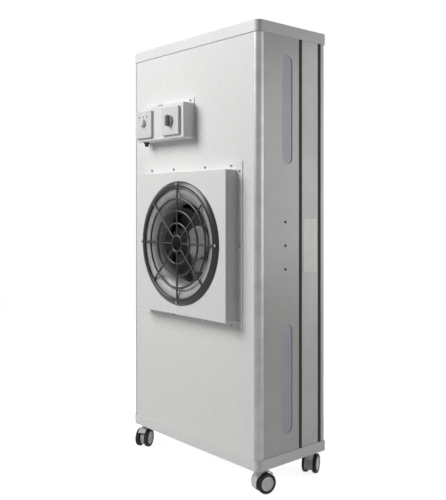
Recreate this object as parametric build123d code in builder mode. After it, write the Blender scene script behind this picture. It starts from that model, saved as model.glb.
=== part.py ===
from build123d import *
from math import cos, degrees, radians, sin
import os

# Mobile fan filter unit: an upright cabinet on four twin-wheel castors.  A fan
# behind a round ring guard draws air in through the wide front face and pushes
# it out of the back through a pleated filter.
#
# Frame: millimetres, +Z up, floor at Z = 0, front (intake) face towards -Y, and
# the origin at the middle of the whole footprint.

os.makedirs("parts", exist_ok=True)

# ---------------------------------------------------------------- cabinet
BODY_W = 600.0            # width across the front
VISIBLE_H = 1178.0        # height of body seen between base rim and cap rim
HOUSING_D = 163.5         # depth of the fan housing
SEAL_D = 13.0             # thickness of each black seal
FILTER_D = 69.0           # depth of the filter frame
OUTLET_D = 14.5           # depth of the outlet frame
BODY_R = 15.5             # corner radius of the body in plan
SHEET = 2.0               # sheet and panel thickness
SEAM = 0.3                # gap at the panel joints

RIM_OVERHANG = 2.5        # cap and base rims stand proud of the body by this
RIM_GAP = 0.5             # between a rim and the body inside it
RIM_PLATE = 3.0           # flat plate of the base and of the cap
RIM_EDGE_R = 3.0          # rounding along the outer edges of both plates
BASE_H = 31.0             # height of the base rim
CAP_H = 33.0              # height of the top cap

POST_FRONT = 15.5         # corner post seen on the front face
POST_SIDE = 21.5          # corner post seen on the side face
POST_LIP = 12.0           # rebate lip that carries a panel

HOUSING_FLANGE = 25.0     # folded rear flange of a side panel
HOUSING_SEAL_BORDER = 22.0
SEAL_INSET = 0.5          # the seals lie this far inside the body's sides
FILTER_BORDER = 14.0      # wall of the filter frame
OUTLET_SEAL_BORDER = 28.0
OUTLET_BORDER = 32.0      # visible border of the outlet frame
GUARD_LAP = 8.0           # the outlet guard laps the frame by this
GUARD_T = 4.0             # thickness of the outlet guard
GUARD_FIT = 0.3           # gap round the outlet guard
GUARD_WIRE = 4.0
GUARD_RIM = 12.0
GUARD_CELL = 60.0         # nominal spacing of the outlet guard's wires

PLEAT_PITCH = 13.0        # nominal pitch of the filter pleats
PLEAT_D = 58.0            # depth of the pleated pack
PLEAT_LAYER = 8.0         # pack layer, measured along the depth

WINDOW_W = 40.0           # side windows
WINDOW_L = 308.0
WINDOW_LIP = 6.0          # the lens laps the opening by this
WINDOW_T = 3.0
WINDOW_Y = 115.5          # behind the front face
WINDOW_LOW = 238.5        # window centres above the base's underside
WINDOW_HIGH = 1001.5

LABEL_W = 58.0
LABEL_H = 158.0
LABEL_T = 0.6
LABEL_UP = 614.0          # label centre above the base's underside

# ---------------------------------------------------------------- castors
WHEEL_R = 28.5
WHEEL_W = 13.5
TYRE_BORE = 20.0
TYRE_CHAMFER = 3.0
TYRE_FIT = 0.05
HUB_SET = 0.6             # hub face below the tyre's side
HUB_DISH_R = 15.5
HUB_DISH = 1.2
CASTOR_H = 71.0
CASTOR_INSET = 33.0       # pivot from the rim's outer faces
TRAIL = 17.0              # axle behind the pivot
WEB_T = 15.0              # hood's web between the two wheels
WEB_R = 22.0
WHEEL_SIDE_GAP = 1.0
WHEEL_ARCH_GAP = 2.0
ARCH_T = 2.5
ARCH_FROM = 40.0          # the arch runs between these angles round the axle
ARCH_TO = 200.0
BOSS_R = 12.0
BOSS_FOOT = 45.0          # lower end of the swivel boss above the floor
SWIVEL_GAP = 0.3
STEM_R = 15.0
STEM_T = 3.0
SPIGOT_R = 8.0
PIN_R = 4.0
PIN_L = 24.0
AXLE_R = 3.0
AXLE_COVER = 3.2          # hub face left over the end of the axle
RUN_FIT = 0.05            # radial clearance of every shaft in its bore
PIN_END_GAP = 0.5
HEADINGS = {              # where each castor trails, in degrees from +X
    "front_right": 78.0,
    "front_left": -60.0,
    "rear_right": 117.0,
    "rear_left": 75.0,
}

# ---------------------------------------------------------------- fan
FAN_UP = 617.0            # fan axis above the base's underside
BOX_W = 430.0
BOX_OUT = 43.0            # fan box and control box stand out by this
BOX_FLANGE = 24.0
BOX_R = 4.0
BELL_OUTER_R = 187.0
BELL_SEAT = 15.0          # flat width of the inlet ring outside its mouth
BOX_HOLE_GAP = 2.0        # hole in the box face, inside the start of the mouth
BELL_T = 2.0              # wall of the bell mouth
BELL_RIM = 0.8            # straight edge of the inlet ring above the box face
BELL_CREST = 2.5          # crest above the box face
BELL_D = 38.5             # depth of the curved mouth
BELL_EDGE = 3.0
THROAT_R = 120.0
THROAT_LIP = 8.0          # straight lip at the end of the mouth

INNER_RINGS = (24.0, 61.0, 98.0, 134.0)
RIM_RING_INSET = 4.0      # outer ring inside the start of the mouth
RIB_W = 6.0
RIB_D = 6.0
SPOKES = 8
LUGS = 4                  # every other spoke runs out to a lug
LUG_INSET = 4.0           # lug ends inside the inlet ring's edge
LUG_W = 10.0
LUG_SCREW_INSET = 5.0     # screws inside the lugs' ends

SHROUD_GAP = 2.5          # running gap round the throat lip
SHROUD_LAP = 2.0          # shroud collar in front of the throat's end
SHROUD_T = 2.0
SHROUD_BEND = 8.0
SHROUD_COLLAR = 17.0
IMPELLER_R = 155.0
BLADES = 7
BLADE_IN_R = 95.0
BLADE_OUT_R = 152.0
BLADE_SWEEP = 42.0        # degrees between a blade's two ends
BLADE_BOW = 0.4           # share of the sweep reached half-way out
BLADE_T = 2.0
BLADE_H = 47.0
DISC_T = 2.5
DISC_HOLE_R = 40.0
ROTOR_R = 52.0
ROTOR_L = 42.0
ROTOR_CHAMFER = 6.0
SHAFT_R = 6.0
SHAFT_IN = 24.0           # shaft length inside the rotor
STATOR_R = 48.0
STATOR_L = 12.0
STATOR_GAP = 1.5          # between stator and impeller disc
ARMS = 4                  # arms of the motor bracket
ARM_TURN = 45.0           # the arms reach into the corners of the fan box
ARM_W = 25.0
ARM_T = 3.0
ARM_R = 176.5             # inner face of the bracket legs from the axis
FOOT_L = 16.0
PLATE_HALF = 60.0         # half the motor plate's side
PANEL_HOLE_R = 170.0

# ---------------------------------------------------------------- controls
CONTROL_W = 243.0
CONTROL_H = 106.0
CONTROL_X = -97.0
CONTROL_UP = 988.6        # centre above the base's underside
CONTROL_FLANGE = 18.0
CONTROL_R = 3.0
SWITCH_SIDE = 86.0
SWITCH_OUT = 8.0
SWITCH_R = 4.0
SWITCH_EDGE = 1.5
SWITCH_X = -34.0
DIAL_X = -174.0
SPINDLE_R = 3.0
SPINDLE_L = 6.5
KNOB_R = 17.0
KNOB_BASE = 5.0
KNOB_GRIP = 12.0
KNOB_GRIP_W = 8.0
KNOB_GAP = 0.3
DIAL_R = 12.5
DIAL_OUT = 8.0
DIAL_DOME = 3.0
DIAL_UP = 5.0             # dial above the middle of its plate
DIAL_NOTCH = 2.0
DIAL_CUT = 1.5            # depth of the pointer notch
LAMPS = 3
LAMP_R = 3.0
LAMP_OUT = 1.0
LAMP_PITCH = 21.0
LAMP_UP = 24.0
PLUG_X = -147.0           # oblong plug in the control box flange
PLUG_L = 26.0
PLUG_W = 5.0
PLUG_OUT = 1.8
GLAND_X = -196.0
GLAND_R = 9.0
GLAND_HEX = 5.0
GLAND_L = 14.0
GLAND_NECK_R = 6.5

SCREW_R = 4.0
SCREW_H = 2.2
SCREW_CHAMFER = 0.8
SIDE_SCREW_Y = 107.5
SIDE_SCREW_UP = 617.0
SIDE_SCREW_PITCH = 67.0
BOX_SCREWS_X = (-193.0, -77.0, 77.0, 193.0)
CONTROL_SCREWS_X = (6.5,)

# ---------------------------------------------------------------- worked out
BODY_D = HOUSING_D + SEAL_D + FILTER_D + SEAL_D + OUTLET_D
RIM_W = BODY_W + 2 * RIM_OVERHANG
RIM_D = BODY_D + 2 * RIM_OVERHANG
BASE_Z = CASTOR_H
FOOT_Z = BASE_Z + RIM_PLATE
HEAD_Z = BASE_Z + BASE_H + VISIBLE_H + CAP_H - RIM_PLATE
TOP_Z = HEAD_Z + RIM_PLATE
BODY_H = HEAD_Z - FOOT_Z
MID_Z = (HEAD_Z + FOOT_Z) / 2
FAN_Z = BASE_Z + FAN_UP
CONTROL_Z = BASE_Z + CONTROL_UP
OUTLET_BORDER_Z = OUTLET_BORDER + CAP_H - RIM_PLATE

WHEEL_HALF = WEB_T / 2 + WHEEL_SIDE_GAP + WHEEL_W
HOOD_HALF = WHEEL_HALF + WHEEL_SIDE_GAP / 2
HOOD_R = WHEEL_R + WHEEL_ARCH_GAP + ARCH_T
PIVOT_X = RIM_W / 2 - CASTOR_INSET


def castor_reach(heading):
    """How far a castor's tyres reach past its pivot along +Y."""
    along = abs(sin(radians(heading)))
    across = abs(cos(radians(heading)))
    tread = (WHEEL_HALF - TYRE_CHAMFER) * across + WHEEL_R * along
    wall = WHEEL_HALF * across + (WHEEL_R - TYRE_CHAMFER) * along
    return TRAIL * sin(radians(heading)) + max(tread, wall)


KNOB_OUT = KNOB_GAP + KNOB_BASE + KNOB_GRIP
FRONT_REACH = BOX_OUT + SWITCH_OUT + KNOB_OUT
REAR_TYRES = max(castor_reach(HEADINGS["rear_right"]), castor_reach(HEADINGS["rear_left"]))
REAR_REACH = max(RIM_OVERHANG, REAR_TYRES - CASTOR_INSET + RIM_OVERHANG)
FRONT_Y = (FRONT_REACH - BODY_D - REAR_REACH) / 2
MID_Y = FRONT_Y + BODY_D / 2
PIVOT_FRONT_Y = FRONT_Y - RIM_OVERHANG + CASTOR_INSET
PIVOT_REAR_Y = FRONT_Y + BODY_D + RIM_OVERHANG - CASTOR_INSET

BELL_CREST_R = BELL_OUTER_R - BELL_SEAT
BOX_HOLE_R = BELL_CREST_R - BOX_HOLE_GAP
RING_RADII = (*INNER_RINGS, BELL_CREST_R - RIM_RING_INSET)
LUG_R = BELL_OUTER_R - LUG_INSET
LUG_SCREW_R = LUG_R - LUG_SCREW_INSET

THROAT_END = BOX_OUT + BELL_CREST - BELL_D - THROAT_LIP
SHROUD_IN_R = THROAT_R + BELL_T + SHROUD_GAP
SHROUD_FRONT = THROAT_END + SHROUD_LAP
SHROUD_BACK = SHROUD_FRONT - SHROUD_COLLAR - SHROUD_BEND
DISC_FRONT = SHROUD_BACK - BLADE_H
DISC_BACK = DISC_FRONT - DISC_T
STATOR_FRONT = DISC_BACK - STATOR_GAP
STATOR_BACK = STATOR_FRONT - STATOR_L

WINDOW_CENTRES = [(FRONT_Y + WINDOW_Y, BASE_Z + up) for up in (WINDOW_LOW, WINDOW_HIGH)]


def front_plane(out=0.0, x=0.0, z=0.0):
    """Plane facing the front, `out` mm proud of the body's front face."""
    return Plane(origin=(x, FRONT_Y - out, z), x_dir=(1, 0, 0), z_dir=(0, -1, 0))


def section_plane(x, z):
    """Plane through an axis square to the front: local X is radius, Y is height."""
    return Plane(origin=(x, FRONT_Y, z), x_dir=(0, 0, 1), z_dir=(1, 0, 0))


def front_axis(x, z):
    """Axis square to the front face."""
    return Axis((x, FRONT_Y, z), (0, -1, 0))


def polar(radius, angle):
    """Point at a radius and an angle in degrees."""
    return radius * cos(radians(angle)), radius * sin(radians(angle))


def save(piece, name):
    """Label a finished piece and write its STEP file."""
    piece.part.label = name
    export_step(piece.part, f"parts/{name}.step")


def outer_rings(piece, count):
    """The piece's round edges of largest radius."""
    return piece.edges().filter_by(GeomType.CIRCLE).sort_by(SortBy.RADIUS)[-count:]


# ------------------------------------------------------------ base and cap
def rim_pan(low, height, plate_low, plate_face):
    """Shallow rounded pan: the body stands inside its rim."""
    with BuildPart() as pan:
        with BuildSketch(Plane.XY.offset(low)):
            with Locations((0, MID_Y)):
                RectangleRounded(RIM_W, RIM_D, BODY_R + RIM_OVERHANG)
        extrude(amount=height)
        fillet(pan.faces().sort_by(Axis.Z)[plate_face].edges(), radius=RIM_EDGE_R)
        with BuildSketch(Plane.XY.offset(plate_low)):
            with Locations((0, MID_Y)):
                RectangleRounded(BODY_W + 2 * RIM_GAP, BODY_D + 2 * RIM_GAP, BODY_R + RIM_GAP)
        extrude(amount=height if plate_face == 0 else -height, mode=Mode.SUBTRACT)
    return pan


with BuildPart() as base_frame:
    add(rim_pan(BASE_Z, BASE_H, FOOT_Z, 0).part)
    with BuildSketch(Plane.XY.offset(BASE_Z)):
        for pivot_y in (PIVOT_FRONT_Y, PIVOT_REAR_Y):
            with Locations((-PIVOT_X, pivot_y), (PIVOT_X, pivot_y)):
                Circle(SPIGOT_R + RUN_FIT)
    extrude(amount=RIM_PLATE, mode=Mode.SUBTRACT)
save(base_frame, "base_frame")

top_cap = rim_pan(HEAD_Z + RIM_PLATE - CAP_H, CAP_H, HEAD_Z, -1)
save(top_cap, "top_cap")


# ------------------------------------------------------------ housing
def corner_post(side):
    """Rounded front corner extrusion with a rebated lip behind each panel."""
    edge = side * BODY_W / 2
    reach_x = POST_FRONT + POST_LIP
    reach_y = POST_SIDE + POST_LIP
    with BuildPart() as post:
        with BuildSketch(Plane.XY.offset(FOOT_Z)):
            with Locations((0, MID_Y)):
                RectangleRounded(BODY_W, BODY_D, BODY_R)
                wall = 2 * SHEET
                RectangleRounded(BODY_W - 2 * wall, BODY_D - 2 * wall, BODY_R - wall, mode=Mode.SUBTRACT)
            with Locations((edge - side * reach_x / 2, FRONT_Y + reach_y / 2)):
                Rectangle(reach_x, reach_y, mode=Mode.INTERSECT)
            with Locations((edge - side * (POST_FRONT + POST_LIP / 2), FRONT_Y + SHEET / 2)):
                Rectangle(POST_LIP, SHEET, mode=Mode.SUBTRACT)
            with Locations((edge - side * SHEET / 2, FRONT_Y + POST_SIDE + POST_LIP / 2)):
                Rectangle(SHEET, POST_LIP, mode=Mode.SUBTRACT)
        extrude(amount=BODY_H)
    return post


def side_panel(side):
    """Folded side sheet with two window openings and a rear flange."""
    edge = side * BODY_W / 2
    start = FRONT_Y + POST_SIDE + SEAM
    end = FRONT_Y + HOUSING_D
    with BuildPart() as panel:
        with BuildSketch(Plane.XY.offset(FOOT_Z)):
            with Locations((edge - side * SHEET / 2, (start + end) / 2)):
                Rectangle(SHEET, end - start)
            with Locations((edge - side * HOUSING_FLANGE / 2, end - SHEET / 2)):
                Rectangle(HOUSING_FLANGE, SHEET)
        extrude(amount=BODY_H)
        with BuildSketch(Plane.YZ.offset(edge)):
            with Locations(*WINDOW_CENTRES):
                SlotOverall(WINDOW_L, WINDOW_W, rotation=90)
        extrude(amount=-side * SHEET, mode=Mode.SUBTRACT)
    return panel


for side, word in ((1, "right"), (-1, "left")):
    save(corner_post(side), f"corner_post_{word}")
    save(side_panel(side), f"side_panel_{word}")

with BuildPart() as window_lenses:
    for side in (1, -1):
        with BuildSketch(Plane.YZ.offset(side * (BODY_W / 2 - SHEET))):
            with Locations(*WINDOW_CENTRES):
                SlotOverall(WINDOW_L + 2 * WINDOW_LIP, WINDOW_W + 2 * WINDOW_LIP, rotation=90)
        extrude(amount=-side * WINDOW_T)
save(window_lenses, "window_lenses")

with BuildPart() as intake_panel:
    with BuildSketch(front_plane(-SHEET)):
        with Locations((0, MID_Z)):
            Rectangle(BODY_W - 2 * (POST_FRONT + SEAM), BODY_H)
        with Locations((0, FAN_Z)):
            Circle(PANEL_HOLE_R, mode=Mode.SUBTRACT)
    extrude(amount=SHEET)
save(intake_panel, "intake_panel")


# ------------------------------------------------------------ filter and outlet
def upright_frame(back, depth, inset, border_x, border_z):
    """Rectangular frame as high as the body; its rear face lies `back` mm behind the front."""
    with BuildPart() as frame:
        with BuildSketch(front_plane(-back)):
            with Locations((0, MID_Z)):
                Rectangle(BODY_W - 2 * inset, BODY_H)
                Rectangle(BODY_W - 2 * border_x, BODY_H - 2 * border_z, mode=Mode.SUBTRACT)
        extrude(amount=depth)
    return frame


filter_front = HOUSING_D + SEAL_D
filter_back = filter_front + FILTER_D
outlet_front = filter_back + SEAL_D

housing_seal = upright_frame(filter_front, SEAL_D, SEAL_INSET, HOUSING_SEAL_BORDER, HOUSING_SEAL_BORDER)
save(housing_seal, "housing_seal")

filter_frame = upright_frame(filter_back, FILTER_D, 0.0, FILTER_BORDER, FILTER_BORDER)
save(filter_frame, "filter_frame")

outlet_seal = upright_frame(outlet_front, SEAL_D, SEAL_INSET, OUTLET_SEAL_BORDER, OUTLET_BORDER_Z)
save(outlet_seal, "outlet_seal")

with BuildPart() as outlet_frame:
    add(upright_frame(BODY_D, OUTLET_D, 0.0, OUTLET_BORDER, OUTLET_BORDER_Z).part)
    with BuildSketch(Plane.XY.offset(FOOT_Z)):
        with Locations((0, MID_Y)):
            RectangleRounded(BODY_W, BODY_D, BODY_R)
    extrude(amount=BODY_H, mode=Mode.INTERSECT)
    with BuildSketch(front_plane(-outlet_front)):
        with Locations((0, MID_Z)):
            Rectangle(
                BODY_W - 2 * (OUTLET_BORDER - GUARD_LAP),
                BODY_H - 2 * (OUTLET_BORDER_Z - GUARD_LAP),
            )
    extrude(amount=-GUARD_T, mode=Mode.SUBTRACT)
save(outlet_frame, "outlet_frame")

guard_w = BODY_W - 2 * (OUTLET_BORDER - GUARD_LAP + GUARD_FIT)
guard_h = BODY_H - 2 * (OUTLET_BORDER_Z - GUARD_LAP + GUARD_FIT)
cells_x = round((guard_w - 2 * GUARD_RIM) / GUARD_CELL)
cells_z = round((guard_h - 2 * GUARD_RIM) / GUARD_CELL)
cell_w = (guard_w - 2 * GUARD_RIM + GUARD_WIRE) / cells_x
cell_h = (guard_h - 2 * GUARD_RIM + GUARD_WIRE) / cells_z
with BuildPart() as outlet_guard:
    with BuildSketch(front_plane(-outlet_front - GUARD_T)):
        with Locations((0, MID_Z)):
            Rectangle(guard_w, guard_h)
            with GridLocations(cell_w, cell_h, cells_x, cells_z):
                Rectangle(cell_w - GUARD_WIRE, cell_h - GUARD_WIRE, mode=Mode.SUBTRACT)
    extrude(amount=GUARD_T)
save(outlet_guard, "outlet_guard")

pack_w = BODY_W - 2 * FILTER_BORDER
pleats = round(pack_w / PLEAT_PITCH)
pack_front = FRONT_Y + filter_front + (FILTER_D - PLEAT_D) / 2
fold = PLEAT_D - PLEAT_LAYER
valleys = [
    (-pack_w / 2 + step * pack_w / (2 * pleats), pack_front + fold * (step % 2))
    for step in range(2 * pleats + 1)
]
crests = [(x, y + PLEAT_LAYER) for x, y in reversed(valleys)]
with BuildPart() as filter_media:
    with BuildSketch(Plane.XY.offset(FOOT_Z + FILTER_BORDER)):
        with BuildLine():
            Polyline(*valleys, *crests, close=True)
        make_face()
    extrude(amount=BODY_H - 2 * FILTER_BORDER)
save(filter_media, "filter_media")

with BuildPart() as blank_label:
    with BuildSketch(Plane.YZ.offset(BODY_W / 2)):
        with Locations((FRONT_Y + filter_front + FILTER_D / 2, BASE_Z + LABEL_UP)):
            Rectangle(LABEL_W, LABEL_H)
    extrude(amount=LABEL_T)
save(blank_label, "blank_label")


# ------------------------------------------------------------ fan
def folded_box(width, height, corner, x, z):
    """Open-backed sheet box that stands out from the front panel."""
    with BuildPart() as box:
        with BuildSketch(front_plane(0.0, x, z)):
            RectangleRounded(width, height, corner)
        extrude(amount=BOX_OUT)
        with BuildSketch(front_plane(0.0, x, z)):
            RectangleRounded(width - 2 * SHEET, height - 2 * SHEET, corner - SHEET)
        extrude(amount=BOX_OUT - SHEET, mode=Mode.SUBTRACT)
    return box


with BuildPart() as fan_box:
    add(folded_box(BOX_W, BOX_W, BOX_R, 0.0, FAN_Z).part)
    with BuildSketch(front_plane(0.0, 0.0, FAN_Z)):
        Rectangle(BOX_W + 2 * BOX_FLANGE, BOX_W + 2 * BOX_FLANGE)
        RectangleRounded(BOX_W - 2 * SHEET, BOX_W - 2 * SHEET, BOX_R - SHEET, mode=Mode.SUBTRACT)
    extrude(amount=SHEET)
    with BuildSketch(front_plane(BOX_OUT, 0.0, FAN_Z)):
        Circle(BOX_HOLE_R)
    extrude(amount=-SHEET, mode=Mode.SUBTRACT)
save(fan_box, "fan_box")

crest = BOX_OUT + BELL_CREST
mouth_centre = (BELL_CREST_R, crest - BELL_D)
mouth_w = BELL_CREST_R - THROAT_R
with BuildPart() as inlet_ring:
    with BuildSketch(section_plane(0.0, FAN_Z)):
        with BuildLine():
            EllipticalCenterArc(mouth_centre, mouth_w, BELL_D, start_angle=90, arc_size=90)
            Polyline(
                (THROAT_R, crest - BELL_D),
                (THROAT_R, THROAT_END),
                (THROAT_R + BELL_T, THROAT_END),
                (THROAT_R + BELL_T, crest - BELL_D),
            )
            EllipticalCenterArc(mouth_centre, mouth_w - BELL_T, BELL_D - BELL_T, start_angle=90, arc_size=90)
            Polyline(
                (BELL_CREST_R, crest - BELL_T),
                (BELL_CREST_R, BOX_OUT),
                (BELL_OUTER_R, BOX_OUT),
                (BELL_OUTER_R, BOX_OUT + BELL_RIM),
                (BELL_OUTER_R - BELL_EDGE, crest),
                (BELL_CREST_R, crest),
            )
        make_face()
    revolve(axis=front_axis(0.0, FAN_Z))
save(inlet_ring, "inlet_ring")

with BuildPart() as fan_guard:
    with BuildSketch(front_plane(crest, 0.0, FAN_Z)):
        for ring_r in reversed(RING_RADII):
            Circle(ring_r + RIB_W / 2)
            Circle(ring_r - RIB_W / 2, mode=Mode.SUBTRACT)
        hub_r = RING_RADII[0]
        rim_r = RING_RADII[-1]
        with PolarLocations((hub_r + rim_r) / 2, SPOKES):
            Rectangle(rim_r - hub_r, RIB_W)
        with PolarLocations((rim_r + LUG_R) / 2, LUGS):
            Rectangle(LUG_R - rim_r, LUG_W)
    extrude(amount=RIB_D)
save(fan_guard, "fan_guard")

shroud_bend_r = SHROUD_IN_R + SHROUD_BEND
with BuildPart() as impeller:
    with BuildSketch(section_plane(0.0, FAN_Z)):
        with BuildLine():
            Line((SHROUD_IN_R, SHROUD_FRONT), (SHROUD_IN_R, SHROUD_BACK + SHROUD_BEND))
            RadiusArc((SHROUD_IN_R, SHROUD_BACK + SHROUD_BEND), (shroud_bend_r, SHROUD_BACK), -SHROUD_BEND)
            Polyline(
                (shroud_bend_r, SHROUD_BACK),
                (IMPELLER_R, SHROUD_BACK),
                (IMPELLER_R, SHROUD_BACK + SHROUD_T),
                (shroud_bend_r, SHROUD_BACK + SHROUD_T),
            )
            RadiusArc(
                (shroud_bend_r, SHROUD_BACK + SHROUD_T),
                (SHROUD_IN_R + SHROUD_T, SHROUD_BACK + SHROUD_BEND),
                SHROUD_BEND - SHROUD_T,
            )
            Polyline(
                (SHROUD_IN_R + SHROUD_T, SHROUD_BACK + SHROUD_BEND),
                (SHROUD_IN_R + SHROUD_T, SHROUD_FRONT),
                (SHROUD_IN_R, SHROUD_FRONT),
            )
        make_face()
    revolve(axis=front_axis(0.0, FAN_Z))
    with BuildSketch(front_plane(DISC_BACK, 0.0, FAN_Z)):
        Circle(IMPELLER_R)
        Circle(DISC_HOLE_R, mode=Mode.SUBTRACT)
    extrude(amount=DISC_T)
    with BuildSketch(front_plane(DISC_FRONT, 0.0, FAN_Z)) as blade_sketch:
        lead = degrees(BLADE_T / BLADE_IN_R)
        tail = degrees(BLADE_T / BLADE_OUT_R)
        middle_r = (BLADE_IN_R + BLADE_OUT_R) / 2
        bow = BLADE_SWEEP * BLADE_BOW
        for number in range(BLADES):
            turn = number * 360 / BLADES
            with BuildLine():
                ThreePointArc(
                    polar(BLADE_IN_R, turn),
                    polar(middle_r, turn + bow),
                    polar(BLADE_OUT_R, turn + BLADE_SWEEP),
                )
                Line(polar(BLADE_OUT_R, turn + BLADE_SWEEP), polar(BLADE_OUT_R, turn + BLADE_SWEEP + tail))
                ThreePointArc(
                    polar(BLADE_OUT_R, turn + BLADE_SWEEP + tail),
                    polar(middle_r, turn + bow + (lead + tail) / 2),
                    polar(BLADE_IN_R, turn + lead),
                )
                Line(polar(BLADE_IN_R, turn + lead), polar(BLADE_IN_R, turn))
            make_face()
    extrude(amount=BLADE_H)
save(impeller, "impeller")

with BuildPart() as rotor_can:
    with BuildSketch(front_plane(DISC_FRONT, 0.0, FAN_Z)):
        Circle(ROTOR_R)
    extrude(amount=ROTOR_L)
    chamfer(rotor_can.faces().sort_by(Axis.Y)[0].edges(), length=ROTOR_CHAMFER)
    with BuildSketch(front_plane(DISC_FRONT, 0.0, FAN_Z)):
        Circle(SHAFT_R + RUN_FIT)
    extrude(amount=SHAFT_IN + PIN_END_GAP, mode=Mode.SUBTRACT)
save(rotor_can, "rotor_can")

with BuildPart() as motor_base:
    with BuildSketch(front_plane(STATOR_BACK, 0.0, FAN_Z)):
        Circle(STATOR_R)
    extrude(amount=STATOR_L)
    with BuildSketch(front_plane(STATOR_FRONT, 0.0, FAN_Z)):
        Circle(SHAFT_R)
    extrude(amount=DISC_FRONT - STATOR_FRONT + SHAFT_IN)
save(motor_base, "motor_base")

leg_l = -SHEET - STATOR_BACK + ARM_T
with BuildPart() as motor_bracket:
    with BuildSketch(front_plane(STATOR_BACK - ARM_T, 0.0, FAN_Z)):
        Rectangle(2 * PLATE_HALF, 2 * PLATE_HALF)
        with PolarLocations((ARM_R + ARM_T) / 2, ARMS, start_angle=ARM_TURN):
            Rectangle(ARM_R + ARM_T, ARM_W)
    extrude(amount=ARM_T)
    with BuildSketch(front_plane(STATOR_BACK - ARM_T, 0.0, FAN_Z)):
        with PolarLocations(ARM_R + ARM_T / 2, ARMS, start_angle=ARM_TURN):
            Rectangle(ARM_T, ARM_W)
    extrude(amount=leg_l)
    with BuildSketch(front_plane(-SHEET, 0.0, FAN_Z)):
        with PolarLocations(ARM_R + FOOT_L / 2, ARMS, start_angle=ARM_TURN):
            Rectangle(FOOT_L, ARM_W)
    extrude(amount=-ARM_T)
save(motor_bracket, "motor_bracket")

# ------------------------------------------------------------ controls
flange_up = (CONTROL_H + CONTROL_FLANGE) / 2
with BuildPart() as control_box:
    add(folded_box(CONTROL_W, CONTROL_H, CONTROL_R, CONTROL_X, CONTROL_Z).part)
    with BuildSketch(front_plane(0.0, CONTROL_X, CONTROL_Z + flange_up - SHEET / 2)):
        Rectangle(CONTROL_W, CONTROL_FLANGE + SHEET)
    extrude(amount=SHEET)
save(control_box, "control_box")


def wall_plate(x, spindle_up):
    """Square device plate with a spindle above its middle."""
    with BuildPart() as plate:
        with BuildSketch(front_plane(BOX_OUT, x, CONTROL_Z)):
            RectangleRounded(SWITCH_SIDE, SWITCH_SIDE, SWITCH_R)
        extrude(amount=SWITCH_OUT)
        chamfer(plate.faces().sort_by(Axis.Y)[0].edges(), length=SWITCH_EDGE)
        with BuildSketch(front_plane(BOX_OUT + SWITCH_OUT, x, CONTROL_Z + spindle_up)):
            Circle(SPINDLE_R)
        extrude(amount=SPINDLE_L)
    return plate


save(wall_plate(SWITCH_X, 0.0), "switch_plate")
save(wall_plate(DIAL_X, DIAL_UP), "dial_plate")

knob_back = BOX_OUT + SWITCH_OUT + KNOB_GAP
dial_z = CONTROL_Z + DIAL_UP
spindle_bore = SPINDLE_L - KNOB_GAP + PIN_END_GAP
with BuildPart() as switch_knob:
    with BuildSketch(front_plane(knob_back, SWITCH_X, CONTROL_Z)):
        Circle(KNOB_R)
    extrude(amount=KNOB_BASE)
    with BuildSketch(front_plane(knob_back + KNOB_BASE, SWITCH_X, CONTROL_Z)):
        Rectangle(KNOB_GRIP_W, 2 * KNOB_R)
        Circle(KNOB_R, mode=Mode.INTERSECT)
    extrude(amount=KNOB_GRIP)
    with BuildSketch(front_plane(knob_back, SWITCH_X, CONTROL_Z)):
        Circle(SPINDLE_R + RUN_FIT)
    extrude(amount=spindle_bore, mode=Mode.SUBTRACT)
save(switch_knob, "switch_knob")

with BuildPart() as speed_dial:
    with BuildSketch(front_plane(knob_back, DIAL_X, dial_z)):
        Circle(DIAL_R)
    extrude(amount=DIAL_OUT)
    fillet(speed_dial.faces().sort_by(Axis.Y)[0].edges(), radius=DIAL_DOME)
    with BuildSketch(front_plane(knob_back + DIAL_OUT, DIAL_X, dial_z)):
        with Locations((0, DIAL_R)):
            Rectangle(DIAL_NOTCH, DIAL_R)
    extrude(amount=-DIAL_CUT, mode=Mode.SUBTRACT)
    with BuildSketch(front_plane(knob_back, DIAL_X, dial_z)):
        Circle(SPINDLE_R + RUN_FIT)
    extrude(amount=spindle_bore, mode=Mode.SUBTRACT)
save(speed_dial, "speed_dial")

with BuildPart() as indicator_lamps:
    with BuildSketch(front_plane(BOX_OUT + SWITCH_OUT, DIAL_X, CONTROL_Z + LAMP_UP)):
        with GridLocations(LAMP_PITCH, LAMP_PITCH, LAMPS, 1):
            Circle(LAMP_R)
    extrude(amount=LAMP_OUT)
save(indicator_lamps, "indicator_lamps")

with BuildPart() as flange_plug:
    with BuildSketch(front_plane(SHEET, PLUG_X, CONTROL_Z + flange_up)):
        SlotOverall(PLUG_L, PLUG_W)
    extrude(amount=PLUG_OUT)
save(flange_plug, "flange_plug")

gland_y = FRONT_Y - BOX_OUT / 2
gland_z = CONTROL_Z - CONTROL_H / 2
with BuildPart() as cable_gland:
    with BuildSketch(Plane.XY.offset(gland_z)):
        with Locations((GLAND_X, gland_y)):
            RegularPolygon(GLAND_R, 6)
    extrude(amount=-GLAND_HEX)
    with BuildSketch(Plane.XY.offset(gland_z)):
        with Locations((GLAND_X, gland_y)):
            Circle(GLAND_NECK_R)
    extrude(amount=-GLAND_L)
save(cable_gland, "cable_gland")


# ------------------------------------------------------------ screws
def pan_heads(plane, points, lift=1):
    """Separate screw heads at points of a plane."""
    with BuildPart() as heads:
        with BuildSketch(plane):
            with Locations(*points):
                Circle(SCREW_R)
        extrude(amount=lift * SCREW_H)
    return heads


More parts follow.
